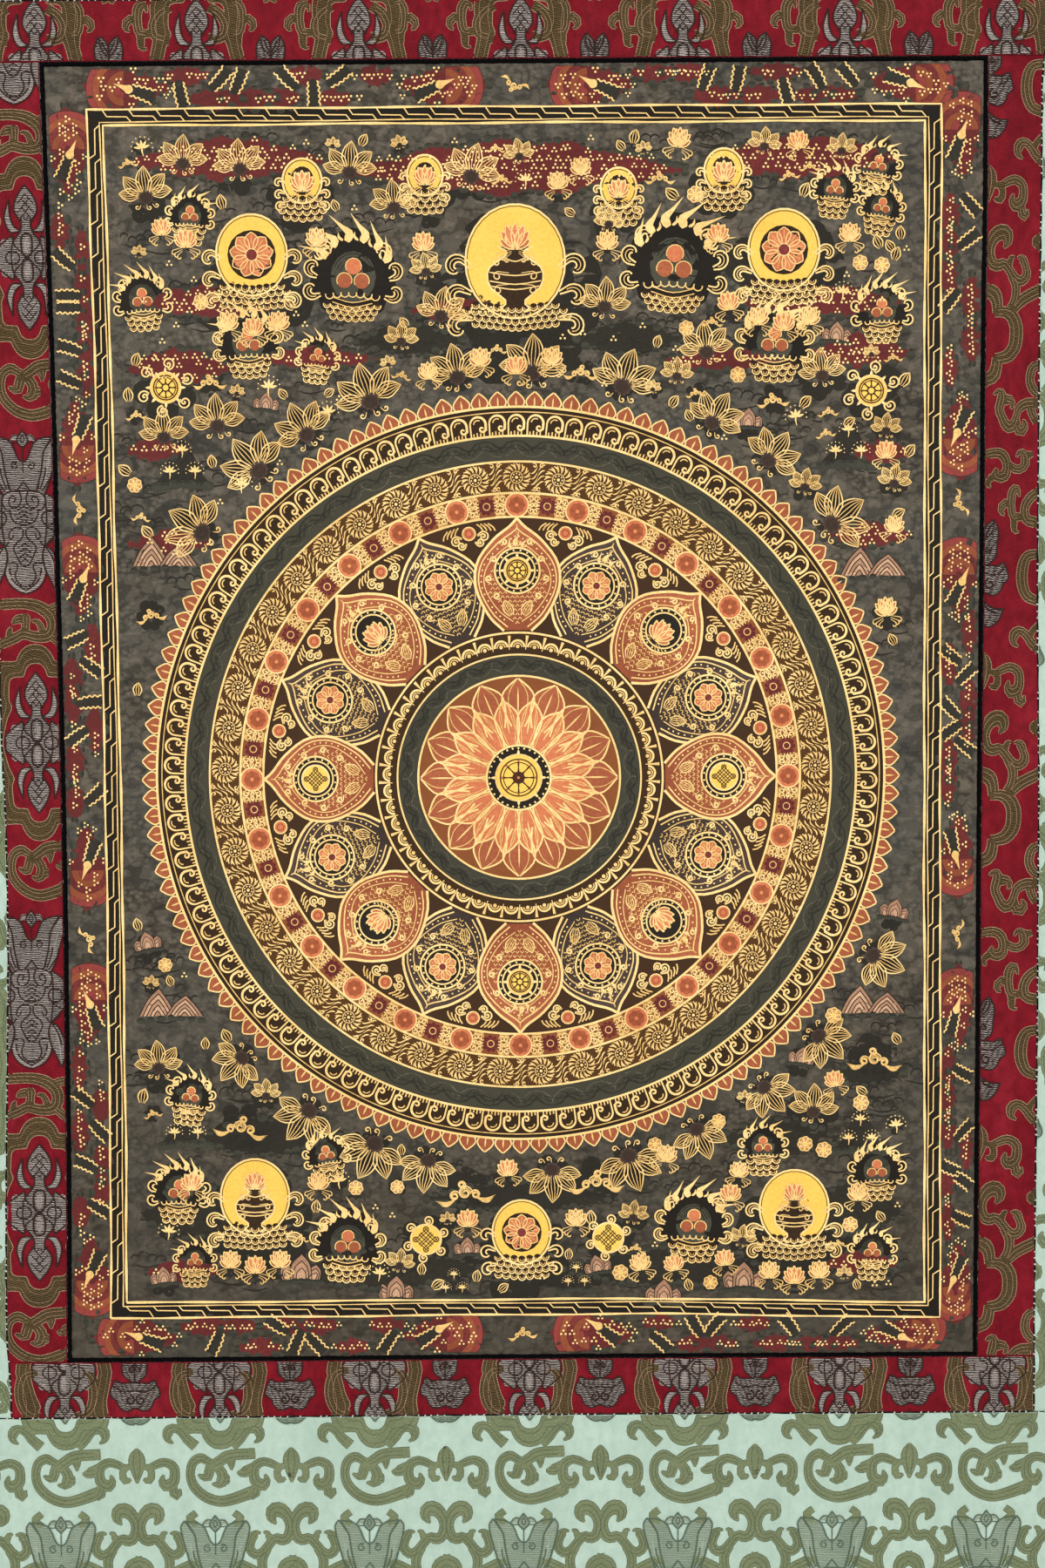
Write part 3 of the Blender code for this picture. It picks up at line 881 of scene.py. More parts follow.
curlScroll = (
    ((-1, -240.5, 2), (-4.5, -238.5, 2.2), (-8, -237, 2.6), (-12.5, -240, 2.4), (-14, -247, 2.3),
     (-12, -254, 2.6), (-6, -260, 2.8), (2, -263, 2.9), (10, -262, 3.1), (24, -257, 3.5)),
    ((-1.5, -240.5, 2.6), (-3, -245, 2.6), (-4, -248.5, 2.7), (-7, -248.5, 1.6), (-9.5, -247, 0.3)),
    ((-1, -241.5, 2.4), (4, -238.5, 3), (9.5, -235.5, 3), (24, -234.5, 3)),
    ((9.5, -237.5, 3), (10, -241, 1.8), (10, -244.5, 0.3)),
    ((0.5, -241.5, 2.6), (3.5, -244.5, 2.6), (5, -248.5, 3), (3.5, -252.5, 3), (1, -253, 1.5),
     (-1.5, -252.5, 0.3)),
    ((5, -250, 3), (8, -250, 2.6), (9, -250, 1.4)),
    ((24, -243, 3.2), (18, -245.5, 3), (15.5, -245.5, 2.6), (14.5, -244.5, 1.4)),
)


def columnA():
    sketch = {}
    for stations in archScroll + curlScroll:
        woven(sketch, stations)
    cartouche(sketch)
    palmette(sketch)
    return settle(sketch)


# stations in the right half of the other column: scrolls, hooks and half rings, one below another
bracketScrolls = (
    ((4.5, -87, 0.3), (6.5, -85.5, 1.2), (9, -85.5, 2), (9.5, -89, 2.6), (8, -95, 2.4), (10, -100, 2.4),
     (12, -103.5, 2.8), (15, -105, 3.1), (18, -102, 2.3), (19.5, -97.5, 2), (21, -94.5, 2.5),
     (25.5, -92, 2.8), (34, -92, 3)),
    ((10, -90.5, 2.2), (13, -89.5, 2.9), (16, -90.5, 1.9), (16.5, -93, 1.2), (15, -95, 0.3)),
    ((19, -99.5, 1.6), (20, -105.5, 2.6), (22.5, -107, 3.2), (25, -104.5, 2), (24.5, -102, 1),
     (23, -101, 0.3)),
    ((28.5, -93, 2.4), (29, -97, 2.2), (32, -102.5, 2)),
    ((-3.5, -121, 2.2), (3.5, -119.5, 2.4), (8.5, -119.5, 2.6), (12, -122.5, 2.7), (13, -127, 2.3),
     (12, -131.5, 3), (8, -132.5, 3), (6, -130, 1.7), (7, -127.5, 0.3)),
    ((14, -125, 1.4), (17.5, -128, 2.2), (21.5, -128.5, 2.2), (25, -126, 2.5), (25, -121.5, 2.6),
     (23, -119, 1.8), (20.5, -119.5, 1), (19.5, -122, 0.3)),
    ((25, -120.5, 1.8), (28, -120.5, 1.8), (30, -120, 1.2)),
    ((6, -132, 2.2), (2.5, -134, 1.6), (1.5, -137, 1.3), (3.5, -138.5, 0.3)),
    ((21.5, -144, 0.3), (21, -141, 1.1), (19, -139, 2.2), (16.5, -142, 2.6), (16, -147, 2.3),
     (16.5, -152, 2.3), (18, -155, 2.2), (24, -155, 2)),
    ((15.5, -148, 2), (11.5, -147.5, 2.3), (9.5, -150.5, 2), (10, -153, 1.1), (12, -154, 0.3)),
    ((17.5, -154.5, 2.2), (18, -158, 1.9), (18, -161.5, 1.9), (19, -163.5, 1), (21.5, -163.5, 0.3)),
    ((34, -141, 2.6), (28.5, -144.5, 2.6), (25.5, -149, 2.6), (25, -153, 2.6), (27, -157, 2.8),
     (34, -158.5, 3)),
    ((34, -176, 2.4), (27.5, -177, 2.7), (24.5, -181.5, 3.2), (23.5, -188.5, 3.4), (24.5, -195, 3.2),
     (27.5, -200, 2.8), (34, -202.5, 2.4)),
    ((34.5, -230, 3), (29.5, -225.5, 2.6), (26.5, -221.5, 2.3), (22.5, -219, 2.3), (19, -220.5, 2.9),
     (18, -224, 2.3), (19, -226.5, 1.3), (21.5, -228, 0.3)),
    ((28.5, -223, 1.8), (30, -219.5, 1.6), (34, -216, 2)),
    ((0, -231, 0.4), (0, -234.5, 3.6), (0, -239.5, 4.7), (0, -245.5, 3.1), (0, -252, 0.4)),
    ((4, -242, 1.5), (7.5, -243, 2), (8.5, -247, 1.7), (7.5, -250, 2.1), (5.5, -250.5, 1.6),
     (3.5, -249.5, 0.5)),
    ((7, -243, 1.8), (12, -240.5, 2.2), (16.5, -239.5, 2.4), (21, -242, 2.6), (22, -246.5, 2.6),
     (21, -251.5, 3), (17, -253.5, 3.5), (14.5, -250.5, 1.9), (15.5, -247, 0.3)),
    ((20, -252, 2.8), (21, -256, 2.2), (22, -259.5, 2.8), (24.5, -259, 1.4), (25, -255.5, 0.3)),
    ((9.5, -277, 0.3), (12, -273.5, 2.6), (11, -269, 4), (7, -268.5, 4.2), (3, -272, 3.2), (1, -278, 2.8),
     (2.5, -284.5, 2.9), (6, -286.5, 3), (10, -285.5, 2.6), (13.5, -289, 2.4), (17.5, -294, 2.7),
     (22, -295, 2.6), (25, -291.5, 2.5), (24, -287, 2), (22.5, -283.5, 2.4), (20.5, -282, 1.1),
     (18.5, -282.5, 0.3)),
    ((12.5, -287, 2), (14, -284, 1.6), (15, -282, 1.2), (17, -282, 0.3)),
    ((14.5, -291.5, 2.2), (17.5, -296.5, 2.6), (18, -301, 2.5), (17, -306, 2.4), (14.5, -310, 2.4)),
    ((34, -270, 1.8), (30.3, -272.8, 1.9), (30.3, -274.5, 1.9), (34, -277.5, 1.8)),
    ((16.5, -311.5, 2), (21, -306.5, 3), (26, -303.5, 3.1), (35, -299.5, 3.1)),
    ((-3, -299, 3.4), (3.5, -301.5, 3.9), (6, -306, 3.1), (6.5, -312.5, 2.7)),
    ((4.5, -312.5, 2.2), (10, -312, 2.8), (15, -314, 3.6), (18, -319, 4), (18.5, -325, 4.1),
     (17.5, -331, 4), (13.5, -336, 3.6), (8.5, -337.5, 2.9), (5, -337.5, 2.4)),
    ((6.5, -337, 2.7), (6, -342.5, 3), (4, -347.5, 3.5), (-2.5, -350, 3.6)),
    ((35.5, -341, 2.2), (30, -342.5, 2.4), (28, -347, 2.4), (28, -351.5, 2.4), (30.5, -356, 2.4),
     (35.5, -358.5, 2.2)),
)


def leafSpray(s):
    outlines = [leaf(s, one, other, tone) for one, other, tone in (([(5, -156.5), (1, -160), (0, -166),
        (0, -174), (0, -181.5)], [(5, -156.5), (7.8, -162.5), (7.2, -170.5), (6.4, -177.5), (2, -181.5)],
        0.5), ([(0, -181.8), (2, -182), (8, -182.5), (10, -181), (12, -181), (12.5, -183), (14, -186),
        (14.6, -189)], [(0, -197), (1.5, -198), (5, -199), (8, -198), (10, -195.5), (11, -192.5),
        (13.5, -191), (14.6, -189)], 0.5), ([(0, -202), (1.7, -204), (5, -206), (8, -206.7),
        (11.5, -206.4)], [(0, -216), (1.8, -216.7), (4.5, -216.2), (7, -214.6), (9.2, -211.8),
        (11.5, -206.4)], 0.42))]
    for outline in outlines:
        hatch(s, outline)
    for points in ([(5, -158), (5, -161), (3.5, -164.5), (0, -168)],
            [(3.5, -159.5), (2, -163), (0, -166.5)], [(12, -184), (9.5, -186), (6, -187.5), (0, -186.5)]):
        trace(s, points)
    trace(s, spiral(3.2, -192.6, 3.2, 0.8, 100, 420, 10), 0.55)
    trace(s, spiral(2.2, -174, 2.2, 0.6, 100, 400, 9), 0.5)
    trace(s, [(0, -204), (3, -207.5), (7, -209)], 0.5)


def columnB(both):
    sketch, half = {}, {}
    for stations in bracketScrolls:
        woven(half, stations)
    leafSpray(half)
    stamp(sketch, half)
    if both:
        stamp(sketch, half, flip=True)
    return settle(sketch)


# the repeat laid over a cloth: column A at x and every spacing, column B half way between them
def cloth2D(figures, xRange, zRange, x, z, lean=0.0):
    target = {}
    step, down = weave["spacing"], weave["repeat"]
    for figure, shift in zip(figures, (0.0, step / 2)):
        if figure is None:
            continue
        outline = np.vstack([parts[0][0] for parts in figure.values()])
        low, high = outline.min(axis=0), outline.max(axis=0)
        for i in range(-8, 9):
            for k in range(-5, 6):
                middle, top = x + shift + i * step + lean * k * down, z + k * down
                if (middle + low[0] < xRange[1] and middle + high[0] > xRange[0]
                        and top + low[1] < zRange[1] and top + high[1] > zRange[0]):
                    stamp(target, figure, middle, top)
    return clipped(target, xRange, zRange)


# thread, name on the red cloth and on the mint one, rib pitch, turn, wander and depth on each
threadTable = (
    ("olive", ("oliveThread", 0.8, 0.5, 4.0, 0.6), ("sageThread", 0.55, 0.5, 4.0)),
    ("silver", ("silverThread", 1.05, 0.12, 5.0, 0.72), ("paleSageThread", 1.15, 0.12, 3.5)),
    ("cream", ("creamOutline", 0.6, 0.7, 3.0), ("sageOutline", 0.6, 0.7, 3.0)),
    ("brown", ("brownOutline", 0.6, 0.7, 3.0), ("greenOutline", 0.6, 0.7, 3.0)),
)
threads = {cloth: {row[0]: figureThread(row[1 + index][0], brocade[row[0]], *row[1 + index][1:])
    for row in threadTable} for index, (cloth, brocade) in enumerate((("red", redBrocade),
    ("mint", mintBrocade)))}
threadLift = {"cream": 0.08, "olive": 0.17, "silver": 0.12, "brown": 0.52}


def merged(drawings):
    total = {}
    for drawing in drawings:
        for paint, parts in drawing.items():
            total.setdefault(paint, []).extend(parts)
    return total


def weaveFigures():
    a, b, bHalf = columnA(), columnB(True), columnB(False)
    edge, hemEdge = borderHalf - 0.4, 1.2
    left, right = weave["leftStrip"], weave["rightStrip"]
    inner = edgingHalf + cut["gap"] + 0.3
    upright = (edgingBottom + 0.4, edgingTop - 0.4)
    red = merged((
        cloth2D((a, None), (-edge, -inner), upright, left["x"], left["z"], left["lean"]),
        cloth2D((None, bHalf), (inner, edge), upright, right["x"] - weave["spacing"] / 2, right["z"],
                right["lean"]),
        cloth2D((a, b), (-edge, edge), (edgingTop + 0.7, borderTop - 0.4), 0.0, edgingTop + 170),
        cloth2D((a, b), (-edge, edge), (borderBottom + 0.4, edgingBottom - 0.7), 0.0, edgingBottom + 170),
    ))
    side, outer = borderHalf + cut["gap"] + 0.4, scrollHalf - hemEdge
    sideRange = (borderBottom + 0.4, borderTop - 0.4)
    mint = merged((
        cloth2D((a, b), (-outer, -side), sideRange, -326.0, -300.0),
        cloth2D((a, b), (side, outer), sideRange, 331.0, -330.0),
        cloth2D((a, b), (-outer, outer), (borderTop + 0.7, -hemEdge), 0.0, -42.0),
        cloth2D((a, b), (-outer, outer), (scrollBottom + hemEdge, footTop - 0.4), 0.0, footTop - 58.0),
    ))
    box = (-scrollHalf, scrollBottom, 1180.0)
    for cloth, drawing, slot in (("red", red, "red_brocade"), ("mint", mint, "mint_brocade")):
        for paint in ("olive", "silver", "brown", "cream"):
            lay(f"{cloth}_{paint}_figures", drawing, paint, threads[cloth][paint], threadLift[paint],
                box)


weaveFigures()


# the painted ornament: a lotus medallion in a field of clouds, jewels, blossoms and flames.
# Paints lie over each other in this order, in mm; a figure drawn over another one stands a level higher
paintLift = {
    "shade": 0.02, "dark": 0.04, "slate": 0.055, "dusk": 0.07, "maroon": 0.085, "sand": 0.1, "halo": 0.12,
    "rust": 0.15, "orange": 0.18, "ink": 0.22, "wave": 0.22, "emberLine": 0.24, "gold": 0.27,
}
level = 0.16
chance = np.random.default_rng(11)


def curve(*points, count=9):
    return smooth(points, count)


def gild(sketch, points, half, tone, base=0.0):
    brush(sketch, "gold", points, half, tone, base=base)


# a filled petal between two lines
def petal(sketch, fill, line, path, width, half, tone, lineTone, base=0.0):
    brush(sketch, fill, path, width, tone, base=base)
    for edge in sides(path, width):
        brush(sketch, line, edge, half, lineTone, base=base)


# a fold of rock between two dark lines
def rockFold(part, left, right, tone, base, lineBase):
    ladder(part, "sand", left, right, tone, base=base)
    for edge in (left, right):
        brush(part, "shade", edge, 0.3, 0.1, base=lineBase)


# a round of small discs
def studs(sketch, paint, count, radius, size, tone, corners, z=0.0, base=0.0):
    for i in range(count):
        a = 2 * pi * i / count
        disc(sketch, paint, radius * cos(a), z + radius * sin(a), size, tone, corners, base=base)


def resized(part, size):
    figure = {}
    stamp(figure, part, size=size)
    return settle(figure)


# a straight stem that runs into a spiral
def rolledUp(x, z, angle, stem, size, turn, inner, count, steps):
    side = copysign(90, turn)
    a, b = radians(angle), radians(angle + side)
    start, end = np.array([x, z]), np.array([x + stem * cos(a), z + stem * sin(a)])
    middle = end + size * np.array([cos(b), sin(b)])
    ring = spiral(*middle, size, size * inner, angle - side, turn, count)
    return np.vstack([start + (end - start) * np.linspace(0, 1, steps)[:-1, None], ring])


def curl(sketch, x, z, angle, stem, size, turn, half, tone, count):
    path = rolledUp(x, z, angle, stem, size, turn, 0.28, count, 3)
    gild(sketch, path, taper(len(path), half, 0.4, 0.7, 0.7), tone)


# a tongue of flame with a smaller one beside it, split by a dark slit
def flame(sketch, x, z, height, lean, turn):
    part, h, tone = {}, height, 0.8
    path = curve((0, 0), (-0.14 * h, 0.26 * h), (0.02 * h + 0.3 * lean, 0.56 * h), (0.16 * h + lean, h))
    gild(part, path, h * np.array([0.09, 0.14, 0.155, 0.135, 0.1, 0.07, 0.045, 0.025, 0.002]), tone)
    gild(part, curve((0.12 * h, 0.06 * h), (0.25 * h, 0.18 * h), (0.24 * h, 0.36 * h), count=5),
        h * np.array([0.03, 0.05, 0.045, 0.03, 0.002]), tone)
    stamp(sketch, part, x, z, turn)


# a leaf of fine strokes that meet at its tip
def stripedLeaf(length, width, stripes, half=0.3):
    part = {}
    brush(part, "dark", curve((0, 0), (width * 0.05, length * 0.5), (width * 0.12, length)),
        taper(9, width * 0.55, 0.5, 0.05, 0.45), 0.1)
    for i in range(stripes):
        bend = (i / (stripes - 1) - 0.5) * width
        edge = i in (0, stripes - 1)
        gild(part, curve((bend * 0.5, 0), (bend * 1.15, length * 0.4), (bend * 0.75, length * 0.75),
            (width * 0.12, length), count=8), taper(8, half * (1.25 if edge else 0.85), 0.5, 0.2),
            0.8 if edge else 0.55)
    return settle(part)


def dotCluster(sketch, x, z, size):
    for dx, dz in ((0, 1.45), (-1.4, -0.8), (1.4, -0.8)):
        disc(sketch, "gold", x + dx * size, z + dz * size, 0.78 * size, 0.85, 6)


def cloudScroll(size, half):
    part = {}
    for x, z, reach, start, turn in ((0, 0, 4.6, 200, -560), (6.4, -1.2, 3.2, 150, -470),
            (-6.0, -1.6, 3.0, 20, 470), (1.6, 5.0, 2.6, 250, -430)):
        gild(part, spiral(x, z, reach, 0.7, start, turn, 20), taper(20, half, 0.5, 0.5), 0.6)
        gild(part, spiral(x, z, reach - 1.3, 1.2, start, turn * 0.55, 11), half * 0.55, 0.45)
    for k in range(4):
        for sx in (-1, 1):
            gild(part, curve((sx * (6 + k), -3.4 - 0.8 * k), (sx * 12, -4.8 - 0.7 * k),
                (sx * (18 - k), -3.2 - 1.1 * k), count=7), taper(7, half * 0.8, 0.6, 0.1), 0.55)
    return resized(part, size)


# an open blossom seen from above
def blossom(radius, petals, fill, line="gold", half=0.36, heart="halo"):
    part = {}
    for i in range(petals):
        one = {}
        path = curve((0, radius * 0.25), (0, radius * 0.6), (0, radius), count=7)
        width = taper(7, radius * sin(pi / petals) * 0.92, 0.35, 0.02, 0.62)
        petal(one, fill, line, path, width, half, 0.35 + 0.3 * (i % 2), 0.7)
        brush(one, line, path[2:6], half * 0.6, 0.5)
        stamp(part, one, turn=360 * i / petals)
    disc(part, heart, 0, 0, radius * 0.27, 0.7, 12, base=level)
    ringLine(part, line, 0, 0, radius * 0.27, half * 0.8, 0.8, 12, base=level)
    return settle(part)


# a lotus seen from the side, its front petals over the back ones
def lotus(width, fill, half=0.38):
    part = {}
    for row, (count, spread, high) in enumerate(((5, 62, 0.62), (4, 40, 0.74), (3, 22, 0.8))):
        for i in range(count):
            lean = spread * (2 * i / (count - 1) - 1)
            one = {}
            tall = width * high * (0.82 + 0.18 * cos(radians(lean)))
            path = curve((0, 0), (0, tall * 0.5), (0, tall), count=8)
            wide = taper(8, width * 0.125, 0.3, 0.02, 0.55)
            petal(one, fill, "gold", path, wide, half, 0.25 + 0.25 * row, 0.75, 0.1 * row)
            stamp(part, one, turn=lean)
    for sx in (-1, 1):
        for k in range(3):
            curl(part, sx * 2, -0.5 - k, 90 - sx * (105 + 12 * k), width * (0.42 - 0.08 * k), 1.6,
                sx * -230, half, 0.6, 10)
    return settle(part)


# a sprig with five narrow buds, seed dots round them and a stem
def budSprig():
    part = {}
    for lean in (-76, -38, 0, 38, 76):
        one = {}
        gild(one, [(0, 0.6), (0, 2.0), (0, 3.4), (0, 4.8)], [0.3, 0.75, 0.6, 0.05], 0.8)
        stamp(part, one, turn=lean)
    for a in range(-10, 191, 25):
        disc(part, "gold", 6.0 * cos(radians(a)), 0.4 + 6.0 * sin(radians(a)), 0.42, 0.9, 5)
    gild(part, [(0, 0.6), (0.4, -1.8), (0, -4.6)], [0.5, 0.4, 0.15], 0.8)
    return settle(part)


def wheel(radius):
    part, spokes = {}, 8
    disc(part, "halo", 0, 0, radius, 0.75, 28, rings=2)
    for share, half, paint in ((1.0, 0.5, "gold"), (0.8, 0.4, "ink"), (0.66, 0.28, "ink"),
            (0.24, 0.4, "ink")):
        ringLine(part, paint, 0, 0, radius * share, half, 0.7, 30)
    for i in range(spokes):
        one = {}
        brush(one, "ink", [(0, radius * 0.24), (0, radius * 0.45), (0, radius * 0.66)], [0.6, 0.3, 0.6], 0.5)
        disc(one, "rust", 0, radius * 0.73, radius * 0.055, 0.8, 7, base=0.08)
        gild(one, [(0, radius), (0, radius + 1.6), (0, radius + 3.0)], [0.8, 0.7, 0.05], 0.9)
        stamp(part, one, turn=360 * i / spokes)
    return settle(part)


def endlessKnot(size):
    part = {}
    disc(part, "halo", 0, 0, size * 1.25, 0.75, 28, rings=2)
    ringLine(part, "gold", 0, 0, size * 1.25, 0.55, 0.85, 32)
    for k in (-0.5, 0.0, 0.5):
        for turn in (45, -45):
            one = {}
            for off in (-0.7, 0.7):
                brush(one, "ink", [(-size * 0.74, k * size + off), (0, k * size + off),
                    (size * 0.74, k * size + off)], 0.26, 0.5)
            stamp(part, one, turn=turn)
    for turn in range(0, 360, 90):
        one = {}
        brush(one, "ink", arc(0, size * 0.86, size * 0.2, -20, 200, 10), 0.3, 0.5)
        stamp(part, one, turn=turn)
    return settle(part)


# a dark ribbon between two gold lines, with a finer line along it
def ribbon(sketch, path, width, base):
    path = np.asarray(path, float)
    brush(sketch, "dark", path, width, 0.05, base=base + 0.03)
    for edge in sides(path, width):
        gild(sketch, edge, np.minimum(0.46, np.broadcast_to(width, len(path)) * 0.6 + 0.08), 0.8, base=base)
    if np.max(width) > 1.5:
        gild(sketch, path[2:-2], 0.27, 0.55, base=base)


# a ribbon that leaves at an angle and rolls up
def scroll(sketch, x, z, angle, stem, size, turn, width, count, base=0.0):
    path = rolledUp(x, z, angle, stem, size, turn, 0.36, count, 4)
    ribbon(sketch, path, taper(len(path), width, 0.35, 0.45, 0.55), base=base)


# hanging petals of a seat, side by side
def petalRow(part, low, wide):
    size = 2.3
    count = max(4, int(2 * wide / (1.7 * size)) + 1)
    for i in range(count):
        s = 2 * i / (count - 1) - 1
        disc(part, "ink", s * wide, low + 0.11 * wide * abs(s), size, 0.05, 9)
        gild(part, arc(s * wide, low + 0.11 * wide * abs(s), size * 0.9, 165, 375, 8), 0.34, 0.8)
        gild(part, arc(s * wide, low + 0.11 * wide * abs(s), size * 0.45, 175, 365, 5), 0.2, 0.5)


# jewels on a dusky lotus in an arch of flames, with rolled black ribbons at both sides
def burningJewels(width, tongues=6):
    part, w = {}, width
    for i in range(9):
        a = radians(-50 + 280 * i / 8)
        disc(part, "dark", w * 0.42 * cos(a), w * 0.46 * sin(a), w * 0.24, 0.1, 10, base=0.002 * i)
    disc(part, "dark", 0, -w * 0.1, w * 0.52, 0.12, 18, 1.1, base=0.02)
    disc(part, "slate", 0, -w * 0.02, w * 0.34, 0.35, 16, 1.1, base=0.02)
    for share in (0.31, 0.26, 0.21):
        brush(part, "shade", arc(0, -w * 0.02, w * share, 20, 160, 10, 1.1), 0.3, 0.1, base=0.08)
    for x, z, r, paint in ((-0.13, -0.08, 0.115, "rust"), (0.13, -0.08, 0.115, "rust"),
            (0, 0.13, 0.12, "orange")):
        disc(part, paint, x * w, z * w, r * w, 0.5, 12, base=0.06)
        gild(part, arc(x * w, z * w, r * w, 200, -30, 9), 0.3, 0.6)
    for i in range(7):
        x = (i - 3) * w * 0.115
        gild(part, arc(x, -w * 0.26 - 0.004 * w * (i - 3) ** 2, w * 0.062, 170, 370, 7), 0.34, 0.7)
    for k in range(3):
        low = -(0.37 + 0.07 * k) * w
        gild(part, curve((-0.3 * w, low + 0.04 * w), (0, low - 0.03 * w), (0.3 * w, low + 0.04 * w),
            count=7), 0.3, 0.55)
    for sx in (-1, 1):
        for k, (x, z, angle) in enumerate(((0.46, 0.22, 60), (0.54, -0.04, 20), (0.48, -0.3, -20))):
            scroll(part, sx * x * w, z * w, 90 - sx * (90 - angle), w * 0.1, w * 0.105, sx * 225,
                w * 0.055, 12, 0.01)
    for k in range(3):
        petalRow(part, -0.48 * w - 3.2 * k, (0.38 - 0.05 * k) * w)
    for i in range(tongues):
        s = 2 * i / (tongues - 1) - 1
        a = radians(90 - 64 * s)
        flame(part, 0.5 * w * cos(a), 0.5 * w * sin(a), w * (0.44 - 0.08 * abs(s)), w * (0.12 + 0.06 * s),
            -26 * s - 6)
    return settle(part)


# a treasure vase with a lotus bud in its mouth
def vase(high):
    part, h = {}, high
    shape = smooth([(0.1, 0), (0.16, 0.05), (0.11, 0.13), (0.3, 0.3), (0.31, 0.5), (0.12, 0.64),
        (0.11, 0.7), (0.2, 0.75)], 18) * h
    ladder(part, "ink", shape * [-1, 1], shape, 0.25, base=0.0)
    for sx in (-1, 1):
        gild(part, shape * [sx, 1], 0.5, 0.85)
    for z, half in ((0.3, 0.28), (0.36, 0.3), (0.46, 0.3), (0.62, 0.12)):
        gild(part, curve((-half * h, z * h), (0, (z - 0.04) * h), (half * h, z * h), count=7), 0.34, 0.7)
    stamp(part, lotus(h * 0.36, "orange", 0.34), z=h * 0.73, above=0.05)
    for sx in (-1, 1):
        for k in range(3):
            curl(part, sx * h * 0.07, h * (0.58 - 0.13 * k), 90 - sx * (70 + 12 * k), h * 0.13, h * 0.055,
                -sx * 330, 0.36, 0.7, 11)
    return settle(part)


# a bright round with a vase or flower in it, on a petalled seat, ribbons trailing from it
def haloLotus(width, flower, fill):
    part, w = {}, width
    disc(part, "halo", 0, 0, w * 0.5, 0.6, 26, 1.12, rings=2)
    ringLine(part, "gold", 0, 0, w * 0.5, 0.5, 0.9, 30, 1.12)
    ringLine(part, "ink", 0, 0, w * 0.5 - 0.9, 0.2, 0.2, 30, 1.12)
    if flower == "vase":
        stamp(part, vase(w * 0.86), z=-w * 0.5, above=0.02)
    elif flower == "lotus":
        disc(part, "ink", 0, 0, w * 0.3, 0.05, 18, 1.2)
        stamp(part, lotus(w * 0.62, fill), z=-w * 0.24, above=0.06)
    else:
        disc(part, "ink", 0, 0, w * 0.34, 0.05, 20)
        stamp(part, blossom(w * 0.31, 9, fill, "gold", 0.3, "maroon"), above=0.06)
    for sx in (-1, 1):
        for k in range(3):
            scroll(part, sx * w * 0.44, -w * (0.56 - 0.25 * k), 90 - sx * (84 - 18 * k), w * 0.12,
                w * 0.095, -sx * 235, w * 0.042, 12)
    for k, wide in enumerate((0.4, 0.48, 0.52, 0.4)):
        petalRow(part, -0.47 * w - 3.4 * k, wide * w)
    return settle(part)


# puffs of cloud that hide the foot of a hill
def cloudFoot(part, wide, size):
    for i in range(7):
        x = (i / 3 - 1) * wide
        disc(part, "slate", x, -0.2 * size - 0.12 * abs(x), size * (1.0, 0.8)[i % 2], 0.05, 9, 0.7,
            base=0.15 + 0.002 * i)
        for share in (0.9, 0.5):
            brush(part, "shade", arc(x, -0.2 * size - 0.12 * abs(x), size * share * (1.0, 0.8)[i % 2], 15,
                165, 7, 0.7), 0.22, 0.1, base=0.2)


# a dark hill with three hanging jewels on it
def jewelHill(size):
    part = {}
    edge = smooth([(-15, 0), (-10, 6), (-7.5, 13), (-3, 21), (0, 25)], 16)
    ladder(part, "dark", edge, edge * [-1, 1], 0.75, base=-0.005)
    cloudFoot(part, 14, 4.2)
    for x, z in ((0, 17.5), (-7.2, 5.6), (7.2, 5.6)):
        stamp(part, budSprig(), x, z, size=0.85)
    return resized(part, size)


# a rock like a flame, in folds
def rock(size):
    part = {}
    for k, (x, high, wide, lean) in enumerate(((-7, 11, 5.5, -3), (7, 10, 5.5, 3), (0, 17, 7, 0.5))):
        for fold in range(3):
            s = 1 - 0.27 * fold
            left = smooth([(x - wide * s, 0), (x - wide * s * 0.9 + lean * 0.5, high * 0.6 * s),
                (x + lean, high * s)], 9)
            right = smooth([(x + wide * s, 0), (x + wide * s * 0.8 + lean * 0.5, high * 0.6 * s),
                (x + lean, high * s)], 9)
            base = 0.01 * (fold + 3 * k)
            rockFold(part, left, right, 0.1 + 0.3 * fold, base, 0.095 + base)
    cloudFoot(part, 12, 3.2)
    return resized(part, size)


# a dark blossom with a frilled edge
def duskBlossom(width):
    part = {}
    disc(part, "dusk", 0, 0, width * 0.46, 0.4, 16, 0.9)
    for i in range(11):
        a = 2 * pi * i / 11
        disc(part, "dusk", width * 0.45 * cos(a), width * 0.4 * sin(a), width * 0.12, 0.6, 8,
            base=0.006 * (i + 1))
    for share in (0.36, 0.24, 0.12):
        ringLine(part, "ink", 0, 0, width * share, 0.2, 0.3, 14, 0.9)
    return settle(part)


# pointed hills in nested bands of sand
def mountains(count, width, height):
    part = {}
    for i in range(count):
        x, high = (i - (count - 1) / 2) * width * 0.72, height * (1 - 0.25 * (i % 2))
        for k in range(5):
            s, base = 1 - k / 5, 0.012 * k + 0.07 * i
            tip = (x + 0.04 * width * s, high * s)
            left = smooth([(x - width * 0.5 * s, 0), (x - width * 0.26 * s, high * 0.6 * s), tip], 7)
            right = smooth([(x + width * 0.5 * s, 0), (x + width * 0.28 * s, high * 0.55 * s), tip], 7)
            rockFold(part, left, right, (0.1, 0.8, 0.3, 0.9, 0.2)[k], base, base + 0.09)
    cloudFoot(part, width * (0.36 * count + 0.1), 2.6)
    return settle(part)


